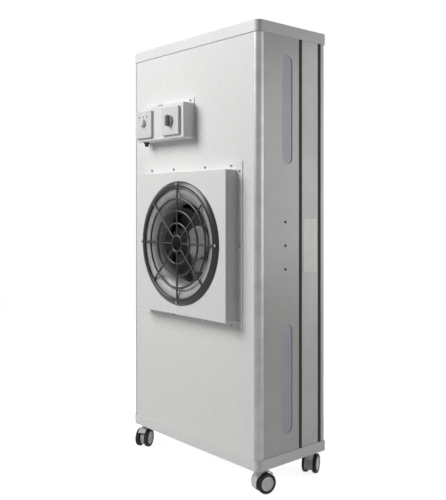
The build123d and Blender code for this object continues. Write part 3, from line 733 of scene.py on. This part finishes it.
class FANUNIT_OT_panels(bpy.types.Operator):
    """Refine the intake panel, the side panels, the seals and the frames."""

    bl_idname = "fan_unit.panels"
    bl_label = "Panels and frames"

    def execute(self, context):
        cabinet = context.scene.fan_unit_cabinet
        sheets = {
            "intake_panel": ("textured_coat", cabinet.sheet_edge),
            "side_panel_left": ("side_coat", cabinet.sheet_edge),
            "side_panel_right": ("side_coat", cabinet.sheet_edge),
            "housing_seal": ("seal_rubber", cabinet.frame_edge),
            "outlet_seal": ("seal_rubber", cabinet.frame_edge),
            "filter_frame": ("filter_aluminium", cabinet.frame_edge),
            "motor_bracket": ("zinc_steel", cabinet.sheet_edge),
        }
        for node, (finish_name, edge) in sheets.items():
            dress(refined(node, edge), "cabinet", finish_name, node)
        self.outlet_frame(cabinet)
        paint("filter_paper", "filter_media")
        paint("outlet_coat", "outlet_guard")
        paint("motor_aluminium", "motor_base")
        return {"FINISHED"}

    def outlet_frame(self, cabinet):
        """Outlet frame with its rear corners filled out square."""
        piece = refined("outlet_frame", 0.0)
        low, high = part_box("outlet_frame")
        leg = cabinet.post_radius + mm(1)
        for inner, outer in ((low.x + leg, low.x), (high.x - leg, high.x)):
            corner_low = Vector((min(inner, outer), low.y, low.z))
            corner_high = Vector((max(inner, outer), high.y, high.z))
            combine(piece, block("outlet_corner", corner_low, corner_high), "UNION")
        at_rear = every_end(lambda p: p.y > high.y - WELD)
        at_side = every_end(lambda p: p.x < low.x + WELD or p.x > high.x - WELD)
        with editing(piece):
            round_off(both(parallel(UP), at_rear, at_side), cabinet.rear_corner, 4)
        dress(piece, "cabinet", "outlet_coat", "outlet_frame")


class FANUNIT_OT_windows(bpy.types.Operator):
    """Model the frosted side windows and the blank label."""

    bl_idname = "fan_unit.windows"
    bl_label = "Windows and label"

    def execute(self, context):
        cabinet = context.scene.fan_unit_cabinet
        lenses = refined("window_lenses", cabinet.lens_edge)
        dress(lenses, "cabinet", "frosted_acrylic", "window_lenses")
        label = block("blank_label_look", *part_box("blank_label"))
        with editing(label):
            round_off(parallel(RIGHT), cabinet.label_corner, 5)
            round_off(rim_of(RIGHT), mm(0.2), 2)
        dress(label, "cabinet", "label_vinyl", "blank_label")
        return {"FINISHED"}


# ---------------------------------------------------------------- fan
GUARD_RINGS = (24.0, 61.0, 98.0, 134.0, 168.0)     # mean radii in mm
GUARD_SPOKES = 8                                   # every other one carries a screw


def fan_centre():
    """The fan's axis in the plane of the cabinet's front face."""
    return centre_of("inlet_ring", y=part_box("intake_panel")[0].y)


class FANUNIT_OT_fan_box(bpy.types.Operator):
    """Model the folded fan box with its flange and round opening."""

    bl_idname = "fan_unit.fan_box"
    bl_label = "Fan box"

    def execute(self, context):
        fan = context.scene.fan_unit_fan
        low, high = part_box("fan_box")
        edge_softening = mm(0.6)
        front = rim_of(FRONT)
        middle = (low.y + high.y) / 2
        piece = block("fan_box_look", Vector((low.x, high.y - fan.sheet, low.z)), high)
        with editing(piece):
            round_off(front, edge_softening, 2)
            pick("FACE", facing(FRONT))
            bpy.ops.mesh.inset(thickness=fan.flange - edge_softening, depth=0.0)
            reach = high.y - fan.sheet - low.y
            push(FRONT * reach)
            round_off(both(parallel(BACK), any_end(lambda p: p.y < middle)), fan.box_corner, 5)
            round_off(both(front, every_end(lambda p: p.y < middle)), fan.fold_radius, 3)
        start, end = mm(-20), mm(60)     # well past the box's front and back
        section = [(radius, start) for radius in (0.0, fan.opening_radius)]
        section += [(radius, end) for radius in (fan.opening_radius, 0.0)]
        hole = turned("opening", fan_centre(), section, steps=96)
        combine(piece, hole, "DIFFERENCE")
        dress(piece, "cabinet", "textured_coat", "fan_box")
        return {"FINISHED"}


class FANUNIT_OT_inlet_ring(bpy.types.Operator):
    """Spin the inlet ring with its curved mouth."""

    bl_idname = "fan_unit.inlet_ring"
    bl_label = "Inlet ring"

    def execute(self, context):
        fan = context.scene.fan_unit_fan
        centre = fan_centre()
        low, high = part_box("inlet_ring")
        crest = centre.y - low.y
        tail = centre.y - high.y
        box_face = centre.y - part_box("fan_box")[0].y
        wall = fan.sheet
        root = crest - fan.mouth_depth
        mouth = fan.ring_crest - fan.throat
        profile = arc(fan.ring_crest, root, -mouth, fan.mouth_depth, 90, 0, 18)
        profile += [(fan.throat, tail), (fan.throat + wall, tail)]
        profile += arc(fan.ring_crest, root, wall - mouth, fan.mouth_depth - wall, 0, 90, 14)
        flange = fan.ring_outer - fan.flange_inset
        profile += [(fan.ring_crest, box_face), (flange, box_face)]
        profile += shoulder(flange, crest, fan.flange_edge, 4)
        ring = turned("inlet_ring_look", centre, profile, closed=True, steps=128)
        dress(ring, "cabinet", "spun_steel", "inlet_ring")
        return {"FINISHED"}


class FANUNIT_OT_ring_guard(bpy.types.Operator):
    """Model the ring guard: five rings, eight spokes and the domed rim round them."""

    bl_idname = "fan_unit.ring_guard"
    bl_label = "Ring guard"

    def execute(self, context):
        fan = context.scene.fan_unit_fan
        radii = [mm(radius) for radius in GUARD_RINGS]
        centre = fan_centre()
        low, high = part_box("fan_guard")
        back, front = centre.y - high.y, centre.y - low.y
        half = fan.rib_width / 2
        pieces = []
        for number, radius in enumerate(radii):
            section = rounded_section(radius - half, radius + half, back, front, fan.rib_rounding)
            steps = 48 + 20 * number     # a wider ring takes more
            ring = turned(f"guard_ring_{number}", centre, section, closed=True, steps=steps)
            pieces.append(ring)
        spokes = [
            self.spoke(fan, radii[0], reach, back, front) for reach in (fan.lug_reach, radii[-1])
        ]
        for number in range(GUARD_SPOKES):
            angle = math.tau * number / GUARD_SPOKES
            turn = Matrix.Translation(centre) @ Matrix.Rotation(angle, 4, "Y")
            pieces.append(copied(spokes[number % 2], f"guard_spoke_{number}", turn))
        for spoke in spokes:
            removed(spoke)
        pieces.append(self.rim(fan, centre))
        guard = joined("fan_guard_look", pieces)
        dress(guard, "cabinet", "black_enamel", "fan_guard")
        return {"FINISHED"}

    def spoke(self, fan, start, reach, back, front):
        """Bar along +X, a little thinner than the rings that it crosses."""
        half, thinner = fan.rib_width / 2, mm(0.4)
        bar = block(
            "guard_bar",
            Vector((start, -front + thinner, -half)), Vector((reach, -back - thinner, half)),
        )
        with editing(bar):
            round_off(parallel(RIGHT), fan.rib_rounding, 3)
        return bar

    def rim(self, fan, centre):
        """Broad rim: a step up from the box, a gently domed slope and a rolled inner edge."""
        box_face = centre.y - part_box("fan_box")[0].y
        step, start, stop = mm(1), 50, 72
        hub_r = fan.ring_outer - fan.rim_bulge * math.cos(math.radians(start))
        hub_h = box_face + step - fan.rim_bulge * math.sin(math.radians(start))
        section = [(fan.rim_inner, box_face), (fan.ring_outer, box_face)]
        section += bend(hub_r, hub_h, fan.rim_bulge, start, stop, 10)
        crown_r, crown = section[-1]
        roll = (crown_r - fan.rim_inner) / 2
        section += bend(fan.rim_inner + roll, crown - roll, roll, 80, 180, 6)
        return turned("guard_rim", centre, section, closed=True, steps=144)


class FANUNIT_OT_impeller(bpy.types.Operator):
    """Refine the fan wheel and model the motor's can."""

    bl_idname = "fan_unit.impeller"
    bl_label = "Impeller"

    def execute(self, context):
        fan = context.scene.fan_unit_fan
        wheel = refined("impeller", mm(0.4), 1)
        dress(wheel, "fan_rotor", "impeller_steel", "impeller")
        centre = fan_centre()
        low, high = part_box("rotor_can")
        radius = (high.x - low.x) / 2
        back, front = centre.y - high.y, centre.y - low.y
        groove, lip = mm(1.2), mm(3)
        inner = radius * 0.45
        edge = fan.rotor_rounding
        profile = [(0.0, front - groove), (inner - lip, front - groove), (inner, front)]
        profile += bend(radius - edge, front - edge, edge, 90, 0, 8)
        profile += [(radius, back + lip), (radius - groove, back + lip)]
        profile += [(radius - groove, back), (0.0, back)]
        can = turned("rotor_can_look", centre, profile)
        dress(can, "fan_rotor", "motor_grey", "rotor_can", slot="motor_black")
        return {"FINISHED"}


# ---------------------------------------------------------------- controls
class FANUNIT_OT_control_box(bpy.types.Operator):
    """Model the folded control box with its top flange."""

    bl_idname = "fan_unit.control_box"
    bl_label = "Control box"

    def execute(self, context):
        fan = context.scene.fan_unit_fan
        control = context.scene.fan_unit_control
        low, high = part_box("control_box")
        top = high.z - control.flange
        box = block("control_box_look", low, Vector((high.x, high.y, top)))
        with editing(box):
            round_off(parallel(BACK), mm(3), 4)
            round_off(rim_of(FRONT), fan.fold_radius, 3)
        overlap = mm(4)
        foot = Vector((low.x, high.y - fan.sheet, top - overlap))
        flange = block("control_flange", foot, high)
        with editing(flange):
            round_off(both(parallel(BACK), every_end(lambda p: p.z > top)), mm(2), 3)
            round_off(rim_of(FRONT), mm(0.5), 2)
        box = joined("control_box_look", [box, flange])
        dress(box, "cabinet", "textured_coat", "control_box")
        return {"FINISHED"}


def device_plate(node):
    """Square wall plate with soft corners and a rounded front edge."""
    control = bpy.context.scene.fan_unit_control
    low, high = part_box(node)
    control_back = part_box("switch_knob" if node == "switch_plate" else "speed_dial")[1].y
    clearance = mm(0.3)
    face = control_back + clearance
    plate = block(node + "_look", Vector((low.x, face, low.z)), high)
    with editing(plate):
        round_off(parallel(BACK), control.plate_corner, 5)
        round_off(rim_of(FRONT), control.plate_rounding, 3)
    return dress(plate, "cabinet", "white_switch_plastic", node)


class FANUNIT_OT_device_plates(bpy.types.Operator):
    """Model the two device plates, the indicator lamps, the flange plug and the gland."""

    bl_idname = "fan_unit.device_plates"
    bl_label = "Plates, lamps and gland"

    def execute(self, context):
        device_plate("switch_plate")
        device_plate("dial_plate")
        self.lamps()
        dress(refined("flange_plug", mm(0.6), 3), "cabinet", "black_plastic", "flange_plug")
        self.gland()
        return {"FINISHED"}

    def lamps(self):
        """Three small domed lenses in a row."""
        low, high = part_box("indicator_lamps")
        radius = (high.z - low.z) / 2
        pitch = (high.x - low.x) / 2 - radius
        middle = centre_of("indicator_lamps", y=high.y)
        rise = high.y - low.y
        profile = arc(0.0, rise * 0.4, radius, rise * 0.6, 90, 0, 5) + [(radius, 0.0)]
        lens = turned("lamp", middle, profile, steps=24)
        lenses = [
            copied(lens, f"lamp_{step + 1}", Matrix.Translation(RIGHT * pitch * step))
            for step in (-1, 0, 1)
        ]
        removed(lens)
        row = joined("indicator_lamps_look", lenses)
        dress(row, "cabinet", "lamp_plastic", "indicator_lamps")

    def gland(self):
        """Hexagon body with a domed, open nut below it."""
        low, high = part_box("cable_gland")
        centre = centre_of("cable_gland", z=high.z)
        hexagon, drop = mm(5), high.z - low.z
        neck, bore, across = mm(6.5), mm(3.5), (high.x - low.x) / 2
        top_edge, foot_edge = mm(0.4), mm(0.8)
        body = [(0.0, 0.0), (across - top_edge, 0.0), (across, top_edge)]
        body += [(across, hexagon - foot_edge), (across - foot_edge, hexagon), (0.0, hexagon)]
        nut = turned("gland_body", centre, body, DOWN, steps=6)
        dome = [(neck, hexagon - mm(1))]
        dome += shoulder(neck, drop, mm(3), 5)
        dome += [(bore, drop), (bore, hexagon)]
        sleeve = turned("gland_dome", centre, dome, DOWN, closed=True, steps=32)
        gland = joined("cable_gland_look", [nut, sleeve])
        dress(gland, "cabinet", "black_plastic", "cable_gland")


class FANUNIT_OT_knob_and_dial(bpy.types.Operator):
    """Model the switch knob with its grip and the speed dial with its notch."""

    bl_idname = "fan_unit.knob_and_dial"
    bl_label = "Knob and dial"

    def execute(self, context):
        self.knob(context.scene.fan_unit_control)
        self.dial(context.scene.fan_unit_control)
        return {"FINISHED"}

    def knob(self, control):
        """Round base with a bar grip whose ends follow the base."""
        low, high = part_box("switch_knob")
        radius = (high.x - low.x) / 2
        edge, grip_end = mm(1.2), mm(6)
        centre = centre_of("switch_knob", y=high.y)
        rise = high.y - low.y
        base = [(0.0, 0.0), (radius, 0.0)]
        base += shoulder(radius, control.knob_base, edge, 4)
        base += [(0.0, control.knob_base)]
        disc = turned("knob_base", centre, base)
        half = control.grip_width / 2
        grip = block(
            "knob_grip",
            Vector((centre.x - half, low.y, low.z - mm(1))),
            Vector((centre.x + half, high.y - mm(2), high.z + mm(1))),
        )
        limit = [(0.0, mm(1)), (radius, mm(1))] + shoulder(radius, rise, grip_end, 8)
        limit += [(0.0, rise)]
        combine(grip, turned("knob_limit", centre, limit), "INTERSECT")
        with editing(grip):
            round_off(both(rim_of(FRONT), parallel(UP)), edge, 3)
        knob = joined("switch_knob_look", [disc, grip])
        dress(knob, "switch_knob", "grey_knob_plastic", "switch_knob")

    def dial(self, control):
        """Domed dial with a pointer notch."""
        low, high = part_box("speed_dial")
        radius = (high.x - low.x) / 2
        centre = centre_of("speed_dial", y=high.y)
        rise = high.y - low.y
        profile = [(0.0, 0.0), (radius, 0.0)] + shoulder(radius, rise, control.dial_rounding, 8)
        profile += [(0.0, rise)]
        dial = turned("speed_dial_look", centre, profile, steps=72)
        notch = block(
            "dial_notch",
            Vector((centre.x - mm(1), low.y - mm(1), centre.z + radius / 2)),
            Vector((centre.x + mm(1), low.y + mm(1.5), high.z + mm(1))),
        )
        combine(dial, notch, "DIFFERENCE")
        dress(dial, "speed_dial", "white_switch_plastic", "speed_dial")


# ---------------------------------------------------------------- screws
SCREW_R, SCREW_RISE = mm(4), mm(2.2)
BOX_FLANGE = mm(2)                                  # the flanges stand on the front face
TOP_SCREWS = [mm(x) for x in (-193, -77, 77, 193)]  # along the fan box's top and bottom flanges
BOX_EDGE = mm((430 + 24) / 2)                       # flange's middle line from the fan's axis
SIDE_DROP = mm(16)                                  # its outermost screws sit nearer the middle
CONTROL_SCREW_X, CONTROL_SCREW_DOWN = mm(6.5), mm(9) # across, and down from the top
SIDE_SCREWS_BACK, SIDE_SCREW_PITCH = mm(107.5), mm(67)
GUARD_SCREW_R = mm(178)
TWIST = math.radians(25)                            # from each slot to the next


def screw_head(radius, rise):
    """Pan head with a cross recess, at the origin and facing the front."""
    profile = [(0.0, 0.0), (radius, 0.0)] + shoulder(radius, rise, rise * 0.6, 4)
    profile += [(0.0, rise)]
    head = turned("screw_head", Vector(), profile, steps=24)
    arm, slot, depth = radius * 0.55, radius * 0.14, rise * 0.55
    bar = block("screw_cross", (-arm, -rise - depth, -slot), (arm, -rise + depth, slot))
    post = block("screw_cross_2", (-slot, -rise - depth, -arm), (slot, -rise + depth, arm))
    combine(head, bar, "DIFFERENCE")
    combine(head, post, "DIFFERENCE")
    return head


class FANUNIT_OT_screws(bpy.types.Operator):
    """Model the pan-head screws of the boxes, the guard and the side panels."""

    bl_idname = "fan_unit.screws"
    bl_label = "Screws"

    def execute(self, context):
        head = screw_head(SCREW_R, SCREW_RISE)
        centre = fan_centre()
        self.panel_screws(head, centre)
        self.side_screws(head, centre)
        self.guard_screws(head, centre)
        removed(head)
        return {"FINISHED"}

    def finish(self, name, heads, finish_name, *nodes):
        """Joins like heads and gives them their finish."""
        dress(joined(name, heads), "cabinet", finish_name, *nodes, slot="zinc_steel")

    def panel_screws(self, head, centre):
        """Round the fan box, and one on the control box."""
        face = centre.y - BOX_FLANGE
        points = [(x, side * BOX_EDGE) for x in TOP_SCREWS for side in (-1, 1)]
        reach = BOX_EDGE - SIDE_DROP
        points += [(side * BOX_EDGE, step * reach) for side in (-1, 1) for step in (-1, 0, 1)]
        places = [Vector((x, face, centre.z + z)) for x, z in points]
        box_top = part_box("control_box")[1].z
        places.append(Vector((CONTROL_SCREW_X, face, box_top - CONTROL_SCREW_DOWN)))
        heads = [
            copied(
                head, f"screw_{number}",
                Matrix.Translation(place) @ Matrix.Rotation(TWIST * number, 4, "Y"),
            )
            for number, place in enumerate(places)
        ]
        self.finish("panel_screws_look", heads, "zinc_steel", "panel_screws")

    def side_screws(self, head, centre):
        """Three in a column on each side panel."""
        side_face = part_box("side_panel_right")[1].x
        heads = []
        for outward in (1, -1):
            sideways = Matrix.Rotation(outward * math.pi / 2, 4, "Z")
            for step in (-1, 0, 1):
                place = Vector((
                    outward * side_face, centre.y + SIDE_SCREWS_BACK,
                    centre.z + step * SIDE_SCREW_PITCH,
                ))
                spin = Matrix.Rotation(TWIST * step, 4, "Y")
                turn = Matrix.Translation(place) @ sideways @ spin
                heads.append(copied(head, "screw_side", turn))
        self.finish("side_screws_look", heads, "blackened_steel")

    def guard_screws(self, head, centre):
        """One on each long spoke of the guard, sunk a little into it."""
        guard_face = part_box("fan_guard")[0].y + mm(0.3)
        number_of_screws = GUARD_SPOKES // 2
        heads = []
        for number in range(number_of_screws):
            turn = Matrix.Rotation(math.tau * number / number_of_screws, 4, "Y")
            place = Vector((centre.x, guard_face, centre.z)) + turn @ (RIGHT * GUARD_SCREW_R)
            heads.append(copied(head, f"guard_screw_{number}", Matrix.Translation(place)))
        self.finish("guard_screws_look", heads, "zinc_steel", "guard_screws")


# ---------------------------------------------------------------- castors
class FANUNIT_OT_castors(bpy.types.Operator):
    """Model one castor's hood, tyre and hub, and copy them to the four corners."""

    bl_idname = "fan_unit.castors"
    bl_label = "Castors"

    def execute(self, context):
        castor = context.scene.fan_unit_castor
        hood = self.hood(castor)
        tyre = self.tyre(castor)
        hub = self.hub(castor)
        for name in CASTORS:
            self.place(castor, f"castor_{name}", hood, tyre, hub)
        for pattern in (hood, tyre, hub):
            removed(pattern)
        return {"FINISHED"}

    def axle(self, castor):
        """The axle's middle on a castor whose pivot is at the origin and that trails along +X."""
        return Vector((castor.trail, 0.0, castor.wheel_radius))

    def hood(self, castor):
        """Arch over the inner half of both wheels, middle web and swivel boss."""
        half = castor.web / 2 + castor.arch_reach
        inner = castor.arch_radius - castor.arch_wall
        section = rounded_section(inner, castor.arch_radius, -half, half, mm(1.1), 2)
        start, end = math.radians(40), math.radians(200)
        axle = self.axle(castor)
        radial = Vector((math.cos(start), 0.0, math.sin(start)))
        arch = turned(
            "hood_arch", axle, section, BACK, radial, closed=True, steps=40, sweep=end - start
        )
        web_half = castor.web / 2
        web_r, edge = mm(21), mm(1)
        web_profile = [(0.0, -web_half)] + bend(web_r, -web_half + edge, edge, -90, 0, 2)
        web_profile += bend(web_r, web_half - edge, edge, 0, 90, 2) + [(0.0, web_half)]
        web = turned("hood_web", axle, web_profile, BACK, UP, steps=48)
        boss_r, boss_top, boss_foot = mm(12), mm(67.7), mm(45)
        boss_profile = [(0.0, boss_top), (boss_r - edge, boss_top), (boss_r, boss_top - edge)]
        boss_profile += [(boss_r, boss_foot), (0.0, boss_foot)]
        boss = turned("hood_boss", Vector(), boss_profile, UP, steps=40)
        return joined("hood_pattern", [arch, web, boss])

    def tyre(self, castor):
        """One tyre, centred on the axle's middle plane."""
        half = castor.wheel_width / 2
        edge = castor.tyre_rounding
        profile = [(castor.hub_radius, -half)]
        profile += bend(castor.wheel_radius - edge, -half + edge, edge, -90, 0, 4)
        profile += shoulder(castor.wheel_radius, half, edge, 4)
        profile += [(castor.hub_radius, half)]
        return turned("tyre_pattern", self.axle(castor), profile, BACK, UP, closed=True, steps=72)

    def hub(self, castor):
        """Wheel core with a dished face and a small centre cap."""
        half = castor.wheel_width / 2
        face = half - mm(0.6)
        dish_r, cap_r, edge = mm(15.5), mm(4.5), mm(0.4)
        floor = face - mm(1.2)
        cap = floor + mm(0.7)
        outer = castor.hub_radius - mm(0.05)
        profile = [(0.0, cap), (cap_r - mm(0.6), cap), (cap_r, floor)]
        profile += [(dish_r - mm(1), floor), (dish_r, face - mm(0.3)), (dish_r + mm(0.5), face)]
        profile += [(castor.hub_radius - edge, face), (outer, face - edge)]
        profile += [(outer, -half), (0.0, -half)]
        return turned("hub_pattern", self.axle(castor), profile, BACK, UP)

    def place(self, castor, name, hood, tyre, hub):
        """Copies the patterns onto one castor, turned to its CAD heading."""
        pivot = centre_of(name + "_stem")
        axle = centre_of(name + "_axle")
        heading = math.atan2(axle.y - pivot.y, axle.x - pivot.x)
        place = Matrix.Translation((pivot.x, pivot.y, 0.0)) @ Matrix.Rotation(heading, 4, "Z")
        swivel = name + "_swivel"
        look = copied(hood, name + "_hood_look", place)
        dress(look, swivel, "hood_plastic", name + "_hood")
        paint("zinc_steel", name + "_stem", name + "_axle")
        offset = castor.web / 2 + mm(1) + castor.wheel_width / 2
        for letter, side in (("a", 1), ("b", -1)):
            body = f"{name}_wheel_{letter}"
            aside = Matrix.Translation((0.0, side * offset, 0.0))
            flip = Matrix.Rotation(0.0 if side > 0 else math.pi, 4, "Z")
            centre = Matrix.Translation((castor.trail, 0.0, 0.0))
            turn = centre @ flip @ centre.inverted()
            look = copied(tyre, f"{name}_tyre_look_{letter}", place @ aside @ turn)
            dress(look, body, "tyre_rubber", f"{name}_tyre_{letter}")
            look = copied(hub, f"{name}_hub_look_{letter}", place @ aside @ turn)
            dress(look, body, "hub_plastic", f"{name}_hub_{letter}")


# ---------------------------------------------------------------- stage
KEY_LIGHT = ((-1.6, -2.6, 2.9), (0.0, 0.0, 1.3), 2.2)   # place, target and size in metres
REAR_FILL = ((1.6, 1.3, 1.0), (0.2, 0.1, 0.7), 1.2)
LAMP_SPREAD = math.radians(90)
CAMERA_PLACE = (1.6805, -1.4456, 0.7965)
CAMERA_HEADING = math.radians(48.84)
CAMERA_SHIFT = -0.0854                                  # upwards, as a share of the frame
FLOOR_SIZE = 60.0
WHITE = (1.0, 1.0, 1.0, 1.0)


class FANUNIT_OT_stage(bpy.types.Operator):
    """Set the floor, the soft light and the camera."""

    bl_idname = "fan_unit.stage"
    bl_label = "Stage"

    def execute(self, context):
        stage = context.scene.fan_unit_stage
        self.room(context, stage)
        self.floor(stage)
        self.lamps(context, stage)
        self.camera(context, stage)
        context.scene.view_settings.view_transform = "Standard"
        return {"FINISHED"}

    def seen(self, tree):
        """One for rays that see the backdrop: from the camera, in a gloss or through glass."""
        path = add_node(tree, "ShaderNodeLightPath")
        direct = add_node(
            tree, "ShaderNodeMath", settings={"operation": "MAXIMUM"},
            links={0: path.outputs["Is Camera Ray"], 1: path.outputs["Is Glossy Ray"]},
        )
        both = add_node(
            tree, "ShaderNodeMath", settings={"operation": "MAXIMUM"},
            links={0: direct.outputs["Value"], 1: path.outputs["Is Transmission Ray"]},
        )
        return both.outputs["Value"]

    def room(self, context, stage):
        """White backdrop whose light on the unit is softer than it looks."""
        world = bpy.data.worlds.new("soft_room")
        world.use_nodes = True
        tree = world.node_tree
        background = tree.nodes["Background"]
        background.inputs["Color"].default_value = WHITE
        level = add_node(
            tree, "ShaderNodeMapRange", values={"To Min": stage.room_level, "To Max": 1.0},
            links={"Value": self.seen(tree)},
        )
        tree.links.new(level.outputs["Result"], background.inputs["Strength"])
        context.scene.world = world

    def floor(self, stage):
        """Wide pale floor that keeps the unit's shadow."""
        bpy.ops.object.select_all(action="DESELECT")
        bpy.ops.mesh.primitive_plane_add(size=FLOOR_SIZE)
        floor = named(bpy.context.object, "studio_floor")
        material = bpy.data.materials.new("painted_studio_floor")
        material.use_nodes = True
        tree = material.node_tree
        shader = tree.nodes["Principled BSDF"]
        shader.inputs["Base Color"].default_value = opaque(linear("#CFCFCD"))
        shader.inputs["Roughness"].default_value = 0.7
        lift = add_node(
            tree, "ShaderNodeMapRange", values={"To Min": 0.0, "To Max": stage.floor_lift},
            links={"Value": self.seen(tree)},
        )
        shader.inputs["Emission Color"].default_value = WHITE
        tree.links.new(lift.outputs["Result"], shader.inputs["Emission Strength"])
        floor.data.materials.append(material)

    def lamp(self, context, name, place, target, size, power):
        """Square soft light at a place, aimed at a target."""
        data = bpy.data.lights.new(name, "AREA")
        data.shape = "SQUARE"
        data.size = size
        data.energy = power
        data.spread = LAMP_SPREAD
        lamp = bpy.data.objects.new(name, data)
        lamp.location = place
        lamp.rotation_euler = (Vector(target) - Vector(place)).to_track_quat("-Z", "Y").to_euler()
        lamp.visible_camera = False
        context.scene.collection.objects.link(lamp)

    def lamps(self, context, stage):
        """Key light from the upper left of the intake face, and a low fill from the right rear."""
        self.lamp(context, "key_light", *KEY_LIGHT, stage.key_power)
        self.lamp(context, "rear_fill", *REAR_FILL, stage.rear_power)

    def camera(self, context, stage):
        """Level view of the intake face and the right side."""
        data = bpy.data.cameras.new("camera")
        data.lens = stage.lens
        data.shift_y = CAMERA_SHIFT
        camera = bpy.data.objects.new("camera", data)
        camera.location = CAMERA_PLACE
        camera.rotation_euler = (math.radians(90), 0.0, CAMERA_HEADING)
        context.scene.collection.objects.link(camera)
        context.scene.camera = camera


PIECES = (
    FANUNIT_OT_materials,
    FANUNIT_OT_cap_and_base,
    FANUNIT_OT_corner_posts,
    FANUNIT_OT_panels,
    FANUNIT_OT_windows,
    FANUNIT_OT_fan_box,
    FANUNIT_OT_inlet_ring,
    FANUNIT_OT_ring_guard,
    FANUNIT_OT_impeller,
    FANUNIT_OT_control_box,
    FANUNIT_OT_device_plates,
    FANUNIT_OT_knob_and_dial,
    FANUNIT_OT_screws,
    FANUNIT_OT_castors,
    FANUNIT_OT_stage,
)


class FANUNIT_PT_sidebar(bpy.types.Panel):
    """Buttons and settings of the unit."""

    bl_idname = "FANUNIT_PT_sidebar"
    bl_label = "Fan Filter Unit"
    bl_space_type = "VIEW_3D"
    bl_region_type = "UI"
    bl_category = "Fan Unit"

    def draw(self, context):
        for operator in PIECES:
            self.layout.operator(operator.bl_idname)
        for name, group in SETTINGS.items():
            box = self.layout.box()
            settings = getattr(context.scene, name)
            for setting in group.__annotations__:
                box.prop(settings, setting, text=setting.replace("_", " ").capitalize())


def register():
    """Registers the settings, the operators and the panel."""
    for name, group in SETTINGS.items():
        bpy.utils.register_class(group)
        setattr(bpy.types.Scene, name, PointerProperty(type=group))
    for item in (*PIECES, FANUNIT_PT_sidebar):
        bpy.utils.register_class(item)


def unregister():
    """Takes them away again."""
    for item in (FANUNIT_PT_sidebar, *reversed(PIECES)):
        bpy.utils.unregister_class(item)
    for name, group in SETTINGS.items():
        delattr(bpy.types.Scene, name)
        bpy.utils.unregister_class(group)


def main():
    """Builds the unit piece by piece."""
    register()
    bpy.ops.fan_unit.materials()
    bpy.ops.fan_unit.cap_and_base()
    bpy.ops.fan_unit.corner_posts()
    bpy.ops.fan_unit.panels()
    bpy.ops.fan_unit.windows()
    bpy.ops.fan_unit.fan_box()
    bpy.ops.fan_unit.inlet_ring()
    bpy.ops.fan_unit.ring_guard()
    bpy.ops.fan_unit.impeller()
    bpy.ops.fan_unit.control_box()
    bpy.ops.fan_unit.device_plates()
    bpy.ops.fan_unit.knob_and_dial()
    bpy.ops.fan_unit.screws()
    bpy.ops.fan_unit.castors()
    bpy.ops.fan_unit.stage()


if __name__ == "__main__":
    main()
